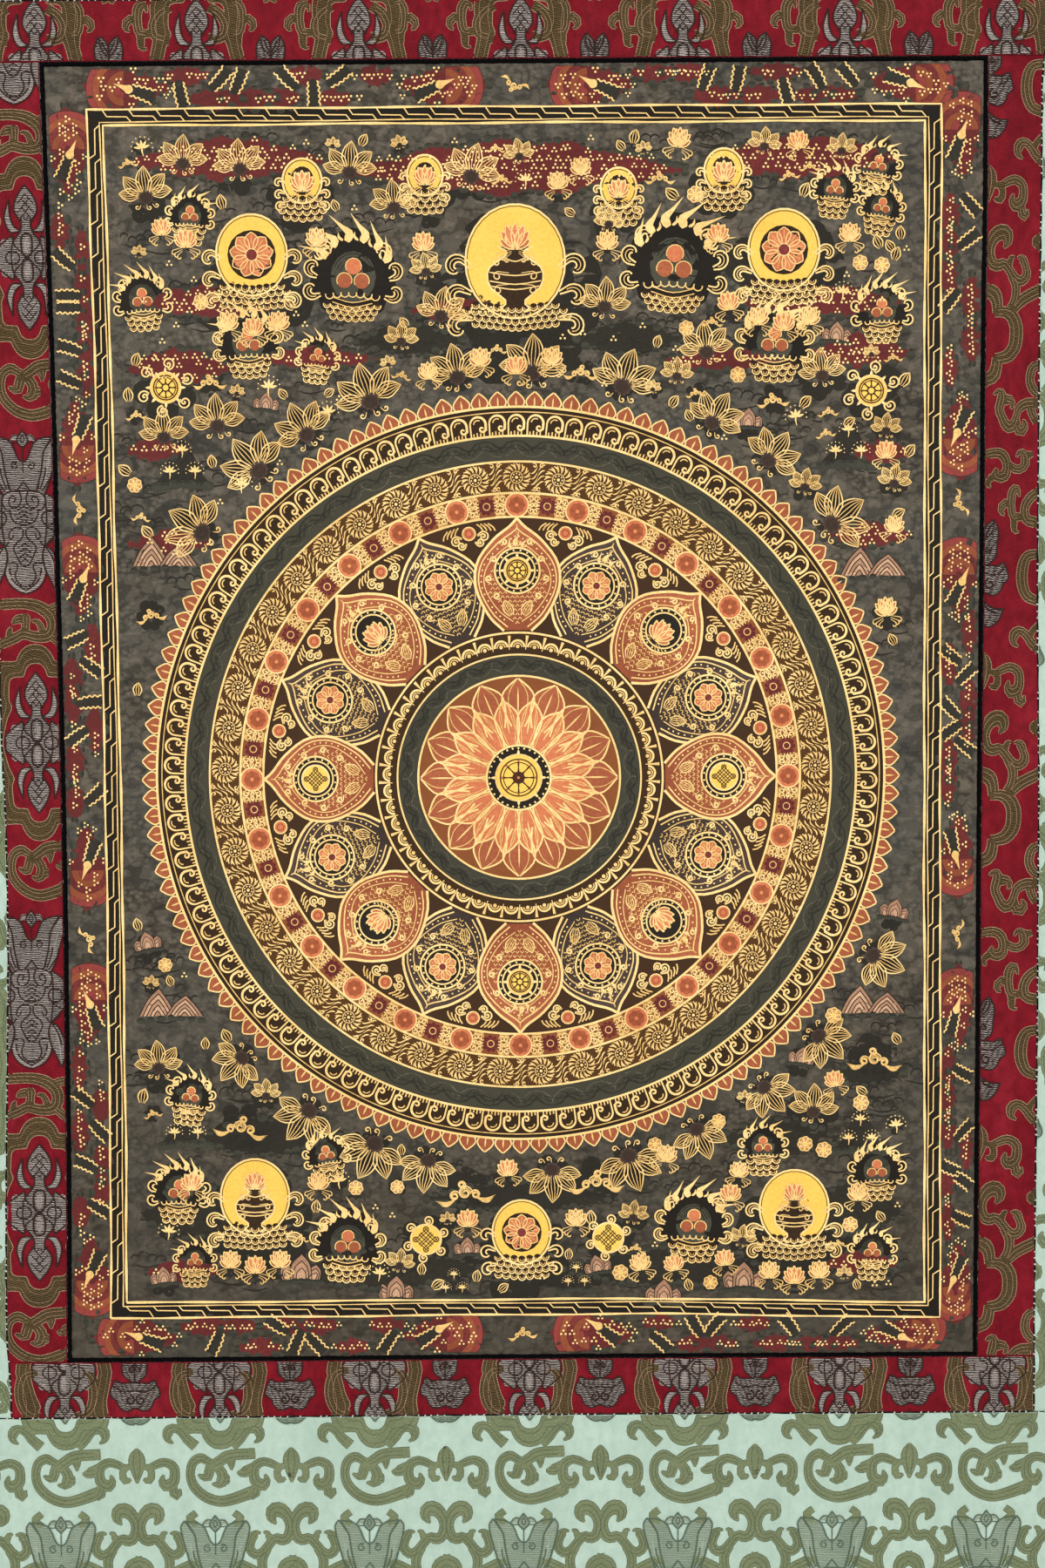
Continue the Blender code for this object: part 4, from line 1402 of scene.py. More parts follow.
# a bank of cloud strewn with clusters of three dots; puffs of the ground's tone heap up over its edge
def cloudBank(sketch, x, z, wide, high, paint, dots):
    path = curve((x - wide * 0.5, z - high * 0.06), (x, z), (x + wide * 0.5, z - high * 0.06), count=16)
    width = taper(16, high * 0.5, 0.1, 0.1) * (1 + 0.15 * np.sin(np.arange(16) * 2.1))
    brush(sketch, paint, path, width, 0.4)
    for one, edge in enumerate(sides(path, width)):
        for i, (u, v) in enumerate(smooth(edge, max(4, int(wide / 4.6)))):
            size = chance.uniform(0.9, 2.9)
            disc(sketch, "slate", u, v, size, 0.05, 10, 0.8, base=0.04 + 0.0006 * i)
            for share in (1.0, 0.5):
                brush(sketch, "shade", arc(u, v, size * share, 20 - 180 * one, 160 - 180 * one, 6, 0.8),
                    0.22, 0.1, base=0.08 + 0.0006 * i)
    if dots:
        strewDots(sketch, x, z, wide * 0.46, high * 0.36)


def strewDots(sketch, x, z, across, up, pitch=5.6, keepOff=()):
    for i in range(-int(across / pitch), int(across / pitch) + 1):
        for k in range(-int(up / pitch) - 1, int(up / pitch) + 2):
            dx, dz = (i + 0.5 * (k % 2)) * pitch, k * pitch * 0.9
            u, v = x + dx + chance.uniform(-0.9, 0.9), z + dz + chance.uniform(-0.9, 0.9)
            if ((dx / across) ** 2 + (dz / up) ** 2 < 1 and chance.random() < 0.85
                    and all(hypot(u - a, v - b) > r + 1.6 for a, b, r in keepOff)):
                dotCluster(sketch, u, v, chance.uniform(0.75, 0.92))


# the medallion, drawn about its own middle
rings = {
    "fringe": 216.2, "arches": 205.5, "waves": 191.5, "scrolls": 175.0, "discs": 159.0, "petalHigh": 151.4,
    "petalLow": 86.0, "roundel": 121.0, "beads": 78.0, "smallWaves": 66.0, "heart": 59.0, "size": 0.965,
    "scalePitch": 2.9, "roundelHigh": 13.2, "roundelClear": 13.8,
    # radius, half width and tone of the gold lines between the zones
    "lines": (
        (215.8, 0.7, 0.8), (212.8, 0.3, 0.5), (199.0, 0.65, 0.85), (184.2, 0.6, 0.8), (166.0, 0.65, 0.8),
        (152.2, 0.6, 0.8), (85.0, 0.6, 0.8), (72.2, 0.5, 0.8), (59.8, 0.6, 0.8),
    ),
}


# a round of bent strokes between sprays of leaf
def fanUnit():
    unit, pitch = {}, 24.4
    disc(unit, "gold", 0, 0, 0.9, 0.9, 8)
    studs(unit, "gold", 8, 2.3, 0.5, 0.9, 5)
    ringLine(unit, "gold", 0, 0, 3.5, 0.26, 0.6, 14)
    for i in range(15):
        a = 2 * pi * i / 15
        for lean in (0.1, 0.34):
            path = [((4.2 + 4.0 * t) * cos(a + lean * t * t), (4.2 + 4.0 * t) * sin(a + lean * t * t))
                for t in (0, 0.35, 0.7, 1)]
            gild(unit, path, np.array([0.22, 0.42, 0.46, 0.2]), 0.8 if lean > 0.2 else 0.5)
    for sx in (-1, 1):
        # leaves between two rounds: all bend the same way round, so a spray turns about its middle
        for k, z in enumerate((-7.6, -4.4, -1.2, 2.0)):
            gild(unit, curve((sx * 8.4, sx * z), (sx * 10.4, sx * (z + 0.9)),
                (sx * pitch * 0.51, sx * (z + 4.2)), count=6), taper(6, 0.42, 0.3, 0.1, 0.4),
                0.6 + 0.2 * (k % 2))
        for sz in (-1, 1):
            curl(unit, sx * 9.4, sz * 8.0, 90 - sx * 90, 1.2, 1.3, -sx * sz * 300, 0.4, 0.7, 9)
    return settle(unit)


def waveUnit(pitch, width):
    unit = {}
    for k, share in enumerate((0.78, 0.58, 0.37)):
        brush(unit, "wave", arc(0, -width * 0.42, width * share, 20, 160, 9), 0.26, 0.15 + 0.3 * k)
        brush(unit, "wave", arc(pitch / 2, width * 0.42, width * share, 200, 340, 9), 0.26, 0.8 - 0.3 * k)
    brush(unit, "wave", curve((-pitch / 2, 0), (-pitch / 4, 1.0), (0, 0), (pitch / 4, -1.0),
        (pitch / 2, 0)), 0.26, 0.2)
    return settle(unit)


def discUnits():
    big, small = {}, {}
    disc(big, "orange", 0, 0, 6.6, 0.45, 22, rings=2)
    ringLine(big, "gold", 0, 0, 6.8, 0.42, 0.7, 24)
    stamp(big, blossom(4.8, 8, "rust", "emberLine", 0.28, "orange"), above=0.08)
    disc(small, "maroon", 0, 0, 4.2, 0.5, 14, base=0.01)
    studs(small, "maroon", 9, 4.0, 1.2, 0.3, 7)
    ringLine(small, "gold", 0, 0, 2.0, 0.28, 0.5, 12)
    for part, edge in ((big, 8.4), (small, 6.4)):
        for sx in (-1, 1):
            for x, z, size, start, turn in ((edge, 3.4, 1.9, 180, -430), (edge, -3.4, 1.9, 180, 430),
                    (edge + 3.0, 0, 1.5, 90, 460)):
                gild(part, spiral(x, z, size, 0.4, start, turn, 13) * [sx, 1], taper(13, 0.46, 0.5, 0.6), 0.7)
            for k in range(3):
                gild(part, [(sx * (edge - 2), (k - 1) * 1.7), (sx * edge, (k - 1) * 1.9)], 0.32, 0.8)
                for sz in (-1, 1):
                    gild(part, [(sx * (edge - 1.5), sz * (6.1 - k * 0.8)),
                        (sx * (edge + 4), sz * (6.3 - k * 0.8))], 0.2, 0.5)
    return settle(big), settle(small)


def archUnit():
    unit = {}
    path = np.vstack([[(-4.6, -6.0)], arc(0, 1.0, 4.6, 180, 0, 12), [(4.3, -2.6)],
        spiral(2.2, -1.6, 2.0, 0.6, -20, -330, 10)])
    gild(unit, path, taper(len(path), 0.72, 0.6, 0.5), 0.8)
    gild(unit, arc(0, 1.2, 2.5, 175, 60, 7), 0.36, 0.5)
    for k in range(4):
        gild(unit, [(-3 + 2 * k, -6.2), (-3 + 2 * k, -4.0 + 0.5 * (k % 2))], 0.4, 0.6)
    return settle(unit)


def petalOutline(inset, count=22):
    shape = smooth([(8, 0), (17, 9), (24.5, 25), (23.5, 40), (14, 53), (4.5, 60.5), (0, 65.4)], count)
    return np.stack([np.clip(shape[:, 0] - inset, 0, None), rings["petalLow"] + inset + shape[:, 1]
        * (1 - 2.6 * inset / 65.4)], axis=1)


# the painted body of a petal, its gold lines and a row of beads along its edge
def petalBody(part, front):
    right, across = petalOutline(0.4), np.linspace(-1, 1, 9)[:, None]
    for band in range(0, 21, 3):
        rows = right[band:band + 4]
        for a, b in zip(rows[:-1], rows[1:]):
            ladder(part, "rust" if front else "dusk", across * [a[0], 0] + [0, a[1]],
                across * [b[0], 0] + [0, b[1]], 0.15 + 0.035 * band)
    for inset, half, tone in ((0.0, 0.75, 0.85), (2.2, 0.4, 0.7), (5.4, 0.3, 0.6)):
        for sx in (-1, 1):
            gild(part, petalOutline(inset) * [sx, 1], half, tone)
    for p in petalOutline(3.8, 46)[3:-3:2]:
        for sx in (-1, 1):
            disc(part, "gold", p[0] * sx, p[1], 0.55, 0.9, 5)


# small chevrons on a front petal, scales on one behind
def petalScales(part, front):
    pitch, inner = rings["scalePitch"], petalOutline(6.6)
    for i in range(-7, 8):
        for k in range(23):
            x, z = (i + 0.5 * (k % 2)) * pitch, rings["petalLow"] + 5 + k * pitch * 0.86
            if (abs(x) > np.interp(z, inner[:, 1], inner[:, 0]) - 0.8
                    or hypot(x, z - rings["roundel"]) < rings["roundelClear"]):
                continue
            if front:
                gild(part, [(x - 1.05, z - 0.8), (x, z + 0.5), (x + 1.05, z - 0.8)], 0.3, 0.55)
            else:
                gild(part, arc(x, z - 0.4, 1.1, 0, 180, 4), 0.28, 0.5)


def bigPetal(index, front):
    part, middle, high = {}, rings["roundel"], rings["roundelHigh"]
    petalBody(part, front)
    petalScales(part, front)
    disc(part, "dark", 0, middle, high, 0.4, 30, rings=2, base=0.14)
    for radius, half, tone in ((high, 0.55, 0.85), (10.4, 0.45, 0.8)):
        ringLine(part, "gold", 0, middle, radius, half, tone, 34)
    studs(part, "gold", 18, 11.8, 0.6, 0.85, 6, middle)
    if not front:
        stamp(part, blossom(8.6, 8, "orange", "gold", 0.34, "maroon"), z=middle, above=0.05)
    elif index % 2:
        stamp(part, lotus(15.5, "orange"), z=middle - 7, above=0.05)
    else:
        stamp(part, (wheel(7.6), endlessKnot(6.4))[index // 2 % 2], z=middle, above=0.12)
    for sx in (-1, 1):
        for x, z, angle, size in ((15.6, -7.5, 28, 1.9), (16.2, 4.5, 100, 1.9), (10.4, 15.5, 125, 1.8),
                (9.6, -16.5, 0, 1.9)):
            curl(part, sx * x, middle + z, 90 - sx * (90 - angle), 2.4, size, sx * 420, 0.56, 0.85, 13)
        stamp(part, stripedLeaf(10, 5, 5), sx * 3.4, middle - 26, sx * -28)
    for k in (-1, 0, 1):
        flame(part, 3.4 * k, middle + 14.4 - 1.0 * abs(k), 9.0 - 2.6 * abs(k), 0.8 * k, -14 * k)
    return settle(part)


def petalGap():
    part, far = {}, rings["petalHigh"] - 6.2
    disc(part, "orange", 0, far, 3.6, 0.5, 12)
    ringLine(part, "gold", 0, far, 3.8, 0.4, 0.8, 14)
    ringLine(part, "emberLine", 0, far, 2.0, 0.34, 0.7, 10)
    for sx in (-1, 1):
        scroll(part, sx * 4.6, far - 2.0, 90 - sx * 70, 3.0, 2.3, -sx * 330, 0.9, 13)
        scroll(part, sx * 2.6, far - 5.4, 90 - sx * 140, 2.4, 1.7, sx * 330, 0.8, 12)
        for k in range(4):
            gild(part, curve((sx * (5.5 + 2.2 * k), far + 4.6 - 0.3 * k),
                (sx * (7.5 + 2.4 * k), far + 2.4 - 0.4 * k), (sx * (8.4 + 2.4 * k), far + 0.2 - 0.5 * k),
                count=5), 0.42, 0.6)
    return settle(part)


def heartLotus(sketch):
    heart = rings["heart"]
    for low, high, wide, fill, start in ((30, heart - 0.8, 9.6, "rust", 0), (19, 46, 7.2, "orange", 11.25)):
        one = {}
        path = curve((0, low), (0, (low + high) / 2), (0, high), count=12)
        width = taper(12, wide, 0.4, 0.03, 0.6)
        brush(one, fill, path, width, 0.5)
        for edge in sides(path, width):
            gild(one, edge, 0.5, 0.8)
            gild(one, path + (edge - path) * 0.6, 0.26, 0.5)
        gild(one, path[3:10], taper(7, 0.5, 0.3, 0.1), 0.7)
        stampRound(sketch, settle(one), 0, 16, start)
    disc(sketch, "dark", 0, 0, 19.0, 0.3, 32, rings=2, base=0.27)
    ringLine(sketch, "gold", 0, 0, 19.0, 0.6, 0.85, 40, base=0.08)
    stamp(sketch, wheel(13.6), above=0.22)
    stamp(sketch, blossom(3.6, 8, "maroon", "ink", 0.2, "orange"), above=0.34)
    studs(sketch, "gold", 32, 17.4, 0.62, 0.9, 7, base=0.1)


def drawMedallion():
    sketch = {}
    for radius, half, tone in rings["lines"]:
        ringLine(sketch, "gold", 0, 0, radius, half, tone, max(60, int(radius * 1.6)))
    stampRound(sketch, fanUnit(), rings["scrolls"], 45)
    stampRound(sketch, waveUnit(18.8, 13.5), rings["waves"], 64)
    stampRound(sketch, waveUnit(14.8, 11.0), rings["smallWaves"], 28)
    big, small = discUnits()
    stampRound(sketch, big, rings["discs"], 28, tone=0.15)
    stampRound(sketch, small, rings["discs"], 28, 180 / 28)
    stampRound(sketch, archUnit(), rings["arches"], 115)
    for index in range(8):
        stamp(sketch, bigPetal(index, False), turn=-45 * index - 22.5)
        stamp(sketch, bigPetal(index, True), turn=-45 * index, above=0.33)
        for off in (11.25, 33.75):
            stamp(sketch, petalGap(), turn=-45 * index - off)
    bead = {}
    gild(bead, arc(0, -1.4, 3.9, 180, 0, 10), 0.62, 0.85)
    gild(bead, arc(0, -1.4, 2.4, 180, 0, 8), 0.34, 0.6)
    disc(bead, "gold", 0, -1.0, 1.15, 0.7, 8)
    gild(bead, [(-5.0, 5.2), (-5.0, 1.0), (-5.0, -3.0)], [0.9, 0.5, 0.2], 0.7)
    stampRound(sketch, settle(bead), rings["beads"], 49)
    heartLotus(sketch)
    tip = {}
    path = curve((0, 0), (0, 4), (0, 8.4), count=7)
    width = taper(7, 4.9, 0.8, 0.03, 0.3)
    petal(tip, "rust", "gold", path, width, 0.42, 0.4, 0.8)
    gild(tip, path[:5], taper(5, 0.5, 0.6, 0.1), 0.6)
    stampRound(sketch, settle(tip), rings["fringe"], 128)
    return settle(sketch)


# the painted frame of the picture: gold lines, a dark band of stepped lines, a margin of clouds and rainbows
frameAt = {"outer": 22.4, "thin": 29.4, "inner": 31.4, "middle": 26.6, "tall": 18.2, "wide": 15.2,
    "lean": 4.6, "leftShift": 0.7, "drop": 2.8}
reach = {"left": -pictureHalf, "right": pictureHalf, "low": pictureBottom, "high": pictureTop}


# a closed line round the picture, so far in from its edges
def frameLine(sketch, inset, half, tone):
    left, right = reach["left"] + inset, reach["right"] - inset
    low, high = reach["low"] + inset, reach["high"] - inset
    path = straight([(left, low), (right, low), (right, high), (left, high), (left, low)], 5.0)
    path = path + 0.22 * np.stack([np.sin(path[:, 1] * 0.061 + inset), np.sin(path[:, 0] * 0.053 + inset)],
        axis=1)
    gild(sketch, path, half * (1 + 0.25 * np.sin(np.arange(len(path)) * 0.9)), tone)


# lays a drawing made along and across one side of the frame on that side
def onSide(sketch, part, turn, x, z):
    way = 1 if turn in (0, 90) else -1
    for paint, parts in part.items():
        for points, triangles, tones, lifts in parts:
            along, across = points[:, 0] * way, points[:, 1] * way
            moved = [x + across, z - along] if turn in (90, -90) else [x + along, z + across]
            sketch.setdefault(paint, []).append((np.stack(moved, axis=1), triangles, tones, lifts))


def steppedBand(length, pitch):
    part = {}
    low, high = frameAt["outer"], frameAt["inner"]
    steps = round(length / 5)
    one = np.stack([np.linspace(low, length - low, steps), np.full(steps, low)], axis=1)
    other = np.stack([np.linspace(high, length - high, steps), np.full(steps, high)], axis=1)
    ladder(part, "dark", one, other, 0.02, base=0.02)
    count = round((length - 2 * high) / pitch)
    pitch = (length - 2 * high) / count
    for i in range(count):
        s = high + i * pitch + chance.uniform(-0.5, 0.5)
        middle = frameAt["middle"] + chance.uniform(-0.2, 0.2)
        gild(part, straight([(s, frameAt["thin"]), (s + 2.4, middle), (s + pitch - 1.8, middle - 0.2),
            (s + pitch + 0.6, low + 0.4)], 4.0), 0.33, 0.75)
    return part


# broad soft bands, one in another, that cross the margin; way says to which end they arch
def rainbow(part, at, way):
    size = 21.0
    middle, side = frameAt["outer"] / 2, frameAt["outer"] / 2 - 0.4
    for k, (paint, tone) in enumerate((("maroon", 0.95), ("rust", 0.15), ("maroon", 0.6), ("rust", 0.0),
            ("maroon", 0.9))):
        one, other = (np.stack([at + way * ring[:, 0], middle + np.clip(ring[:, 1], -side, side)], axis=1)
            for ring in (arc(0, 0, size - 3.8 * j, -90, 90, 20) for j in (k, k + 1)))
        ladder(part, paint, one, other, tone, base=0.02)
        brush(part, "shade", one, 0.16, 0.3, base=0.1)


# a finger of dark cloud between two wavy gold lines, some with a gilt tip
def finger(part, x, z, angle, half, bend, tip=True):
    length, count = 15, 30
    t = np.linspace(0, 1, count)
    way = np.array([cos(radians(angle)), sin(radians(angle))])
    spine = np.array([x, z]) + length * t[:, None] * way + bend * t[:, None] ** 2 * [-way[1], way[0]]
    width = half * (1.15 - 0.35 * t if tip else np.sqrt(np.clip(1 - t ** 6, 0.02, 1)))
    brush(part, "dark", spine, width, 0.9, base=0.08)
    for edge in sides(spine, width):
        wavy = edge + (edge - spine) / width[:, None] * (0.5 * np.sin(t * length * 2.1))[:, None]
        gild(part, wavy[:-3], 0.42, 0.7)
    if tip:
        far = spine[-2] + way * np.linspace(-2.0, 9.5, 9)[:, None]
        gild(part, far, half * np.array([0.2, 0.7, 0.72, 0.5, 0.36, 0.27, 0.18, 0.1, 0.01]), 0.6, base=0.02)
    for k in range(3, count - 3, 5):
        brush(part, "shade", arc(*spine[k], width[k] * 0.6, 10, 170, 6), 0.2, 0.1, base=0.1)
    return [(u, v, half) for u, v in spine] + [(*(spine[-1] + way * 4), 2.0)]


def marginPaint(length, seed):
    luck = np.random.default_rng(seed)
    part, middle = {}, frameAt["outer"] / 2
    groups = max(2, round(length / 250))
    span = length / groups
    for group in range(groups):
        start = group * span + luck.uniform(14, 24)
        end = (group + 1) * span - luck.uniform(14, 24)
        for at, way in ((start, 1), (end, -1)):
            cloudBank(part, at + 22 * way, middle, 50, 21, "maroon", False)
            rainbow(part, at + 21 * way, -way)
            lean = luck.uniform(16, 30) * luck.choice((-1, 1))
            drawn = finger(part, at + 38 * way, middle + 5.0 * way * np.sign(lean), 270 - way * 90 + lean,
                3.4, luck.uniform(-2, 2))
            strewDots(part, at + 26 * way, middle, 24, 9.5, 5.2, drawn)
        # small red patches along either edge, and fingers that reach over them from the gold line or the edge
        for at in np.arange(start + 62, end - 56, 17.0):
            low = luck.random() < 0.5
            cloudBank(part, at + luck.uniform(-4, 4), 4.6 if low else 17.4, luck.uniform(20, 32),
                luck.uniform(10, 13), "maroon", False)
            drawn = []
            if luck.random() < 0.72:
                drawn = finger(part, at + luck.uniform(-6, 6), 21.4 if low else 1.0,
                    (-1 if low else 1) * luck.uniform(40, 140), 3.2, luck.uniform(-3, 3), False)
            strewDots(part, at, 4.8 if low else 17.2, 10, 4.0, 4.8, drawn)
    for k in range(groups - 1):
        stamp(part, cloudScroll(0.5, 0.75), (k + 1) * span, middle, luck.uniform(-30, 30))
    return part


# the frame was painted a little out of true: its right side leans out, its lower line drops to the right
def outOfTrue(sketch):
    half, tall = reach["right"] - frameAt["outer"], reach["high"] - reach["low"]
    for parts in sketch.values():
        for index, (points, triangles, tones, lifts) in enumerate(parts):
            x, z = points.T
            near = np.minimum.reduce([reach["right"] - np.abs(x), reach["high"] - z, z - reach["low"]])
            share = np.clip(near / frameAt["outer"], 0, 1)
            down = np.clip((reach["high"] - z) / tall, 0, 1)
            shift = np.where(x > 0, frameAt["lean"] * down, -frameAt["leftShift"]) * np.abs(x) / half
            drop = frameAt["drop"] * smoothStep(60, half, x) * smoothStep(0.55, 1.0, down)
            parts[index] = (np.stack([x + shift * share, z - drop * share], axis=1), triangles, tones, lifts)


def drawFrame(sketch):
    for inset, half, tone in ((frameAt["outer"], 0.58, 0.85), (frameAt["thin"], 0.32, 0.7),
            (frameAt["inner"], 0.62, 0.85)):
        frameLine(sketch, inset, half, tone)
    wide, tall = reach["right"] - reach["left"], reach["high"] - reach["low"]
    for index, (length, turn, x, z) in enumerate(((tall, 90, reach["left"], reach["high"]),
            (wide, 180, reach["right"], reach["high"]), (tall, -90, reach["right"], reach["low"]),
            (wide, 0, reach["left"], reach["low"]))):
        onSide(sketch, steppedBand(length, frameAt["tall" if turn in (90, -90) else "wide"]), turn, x, z)
        onSide(sketch, marginPaint(length, 31 + index), turn, x, z)
    outOfTrue(sketch)


# the field round the medallion; x and z from the medallion's middle, in mm
spread = {
    "left": -223.0, "right": 223.0, "low": -299.0, "high": 360.0, "medallionEdge": 219.5, "scallopsFrom": 224,
    "fanTurn": 11.5, "fanBed": 228, "fanStem": 227, "fanTip": 238,
    "tries": 1500, "leafTries": 2600, "scallops": 500,
    # x, z and paint of the small lotuses at the sides of a large one and in a row below it
    "lotuses": ((-0.92, 0.02, "orange"), (0.92, 0.02, "rust"), (-0.36, -1.12, "rust"), (0, -1.2, "orange"),
                (0.36, -1.12, "rust")),
}
taken = []


def somewhere(inset=1.0):
    x = chance.uniform(spread["left"] + 1, spread["right"] - 1)
    return x, chance.uniform(spread["low"] + inset, spread["high"] - inset)


def free(x, z, radius, room):
    inside = (spread["left"] + radius < x < spread["right"] - radius
        and spread["low"] + radius < z < spread["high"] - radius)
    if not inside or hypot(x, z) < spread["medallionEdge"] + radius:
        return False
    return all(hypot(x - a, z - b) > radius + r + room for a, b, r in taken)


def place(sketch, figure, x, z, radius, turn=0.0, size=1.0, flip=False, above=0.0):
    stamp(sketch, figure, x, z, turn, size, flip, above=above)
    taken.append((x, z, radius))


# large striped leaves that fan out from a dark blossom
def leafFan(size):
    part = {}
    for angle, length, wide, x in ((84, 14, 7.4, -4.5), (-84, 14, 7.4, 4.5), (42, 17, 8.6, -3),
            (-42, 17, 8.6, 3), (0, 19, 9.4, 0)):
        stamp(part, stripedLeaf(length, wide, 6, 0.3 / size ** 0.5), x, 2.5, angle)
    stamp(part, duskBlossom(9.5), above=0.24)
    for k in range(3):
        curl(part, -4 + 4 * k, -4.5, 240 + 30 * k, 2.4, 1.6, 330 if k else -330, 0.42, 0.7, 10)
    return resized(part, size)


# near black shade heaped up behind a figure
def darkBed(sketch, x, z, radius):
    disc(sketch, "shade", x, z, radius * 0.8, 0.1, 14, base=-0.014)
    for i in range(7):
        a = radians(chance.uniform(0, 52) + 52 * i)
        disc(sketch, "shade", x + radius * 0.74 * cos(a), z + radius * 0.74 * sin(a),
            radius * chance.uniform(0.28, 0.44), 0.15, 10, base=-0.012 + 0.001 * i)


mains = (  # kind, x, z, width; on both sides, or once in the middle
    ("vase", 0, 288, 56), ("jewels", 90, 282, 41), ("round", 154, 302, 40), ("jewels", 206, 268, 25),
    ("jewels", 148, 240, 29), ("wheel", 204, 214, 17), ("lotus", 122, 340, 22), ("lotus", 56, 336, 20),
    ("hill", 190, 184, 30), ("peaks", 201, 116, 27), ("peaks", 202, -140, 27), ("vase", 152, -240, 40),
    ("jewels", 102, -262, 28), ("round", 0, -254, 34), ("jewels", 202, -234, 25), ("knot", 54, -264, 14),
    ("hill", 190, -204, 28), ("rock", 128, -290, 16), ("hill", 34, -292, 20), ("rock", 76, -292, 14),
)
banks = {  # x, z, width and height of the banks of cloud in each paint
    "maroon": (
        (0, 340, 190, 30), (-160, 346, 110, 24), (160, 345, 110, 24), (-190, 232, 60, 20), (194, 238, 56, 20),
        (-112, 236, 70, 13), (116, 234, 66, 14), (-206, 186, 34, 14), (206, 182, 34, 14), (-198, 134, 50, 15),
        (198, 136, 50, 15), (-170, 268, 90, 18), (172, 266, 90, 18), (-30, 262, 60, 14), (-196, -284, 44, 14),
        (197, -282, 44, 14),
    ),
    "shade": (
        (-200, -172, 40, 16), (200, -170, 40, 16), (-150, -206, 70, 22), (148, -208, 70, 22),
        (0, -242, 110, 18), (-80, -284, 120, 22), (84, -284, 120, 22), (-190, -250, 60, 30),
        (190, -250, 60, 30), (-60, 246, 60, 18), (64, 246, 60, 18),
    ),
}


def drawMain(sketch, small, kind, x, z, wide, side):
    u = side * x + (chance.uniform(-6, 6) if x else 0)
    v = z + chance.uniform(-7, 7)
    grow = chance.uniform(0.9, 1.12)
    if kind in ("vase", "lotus", "round"):
        darkBed(sketch, u, v - wide * 0.5, wide * 0.8)
        place(sketch, haloLotus(wide, kind, "orange"), u, v - wide * 0.1, wide * 0.72)
        for dx, dz, fill in spread["lotuses"]:
            a, b = u + dx * wide, v + dz * wide
            if wide > 30 and free(a, b, 5, -60):
                darkBed(sketch, a, b + 4, 6)
                place(sketch, small[fill], a, b, 6, above=0.12)
    elif kind == "jewels":
        place(sketch, burningJewels(wide), u, v, wide * 0.78, chance.uniform(-5, 5), grow, side < 0)
    elif kind in ("hill", "rock"):
        place(sketch, jewelHill(wide / 30) if kind == "hill" else rock(wide / 18), u, v - wide * 0.4,
            wide * 0.5)
    elif kind == "peaks":
        place(sketch, mountains(2, wide * 0.8, wide * 0.6), side * x, v, wide * 0.6)
    else:
        darkBed(sketch, u, v, wide)
        place(sketch, wheel(wide / 2) if kind == "wheel" else endlessKnot(wide / 2), u, v, wide * 0.75)
        for a in range(0, 360, 60):
            r = radians(a + 20)
            scroll(sketch, u + wide * 0.6 * cos(r), v + wide * 0.6 * sin(r), a - 20, wide * 0.12,
                wide * 0.14, 320, wide * 0.07, 13)


# leaves follow the medallion's edge
def ringOfFans(sketch):
    for a in np.arange(-180, 180, spread["fanTurn"]):
        r = radians(a + chance.uniform(-2.5, 2.5))
        c, s = sin(r), cos(r)
        bed, stem, tip = spread["fanBed"], spread["fanStem"], spread["fanTip"]
        if free(tip * c, tip * s, 9, -8):
            darkBed(sketch, bed * c, bed * s, 9)
            place(sketch, leafFan(chance.uniform(0.85, 1.1)), stem * c, stem * s, 5, -a,
                flip=chance.random() < 0.5)
            taken.append((tip * c, tip * s, 12))


# smaller figures wherever there is room, then single leaves and dots
def fillRoom(sketch, small):
    fillers = (
        (13.0, -3, [cloudScroll(0.95, 0.66), leafFan(0.85), burningJewels(19, 5), leafFan(0.8)]),
        (7.6, -1.6, [small["orange"], leafFan(0.52), cloudScroll(0.55, 0.8), small["rust"], leafFan(0.5),
                     rock(0.6)]),
        (4.8, -0.8, [budSprig(), cloudScroll(0.34, 0.9), blossom(4.4, 7, "rust"), leafFan(0.27)]),
    )
    for radius, room, figures in fillers:
        for _ in range(spread["tries"]):
            x, z = somewhere()
            if free(x, z, radius, room):
                if chance.random() < (0.9 if z < 0 else 0.4):
                    darkBed(sketch, x, z, radius * 1.05)
                figure = figures[chance.integers(len(figures))]
                place(sketch, figure, x, z, radius, chance.uniform(-12, 12), chance.uniform(0.9, 1.05),
                    chance.random() < 0.5)
    leaf = stripedLeaf(8.0, 4.6, 4, 0.32)
    for _ in range(spread["leafTries"]):
        x, z = somewhere()
        if free(x, z, 3.2, 0.6):
            if chance.random() < 0.5:
                place(sketch, leaf, x, z - 4, 3.2, chance.uniform(-60, 60), chance.uniform(0.8, 1.1))
            elif z > 100 or chance.random() < 0.4:
                dotCluster(sketch, x, z, 0.85)
                taken.append((x, z, 3.0))
            else:
                taken.append((x, z, 4.0))


# scallops of cloud in the ground's own tone
def drawScallops(sketch):
    for _ in range(spread["scallops"]):
        x, z = somewhere(3.0)
        if hypot(x, z) < spread["scallopsFrom"]:
            continue
        size, way = chance.uniform(2.0, 4.4), chance.choice((-1, 1))
        for k in range(4):
            u, v = x + way * k * size * 1.5, z + size * 0.5 * sin(1.7 * k + x)
            brush(sketch, "shade", arc(u, v, size * (1 - 0.1 * k), 10, 190, 8), taper(8, 0.55, 0.4, 0.4),
                0.1, base=0.004 * k)
        brush(sketch, "shade", curve((x, z - size), (x + way * size * 2.6, z - size * 1.5),
            (x + way * size * 5.2, z - size * 0.9), count=7), taper(7, 0.5, 0.6, 0.1), 0.1)


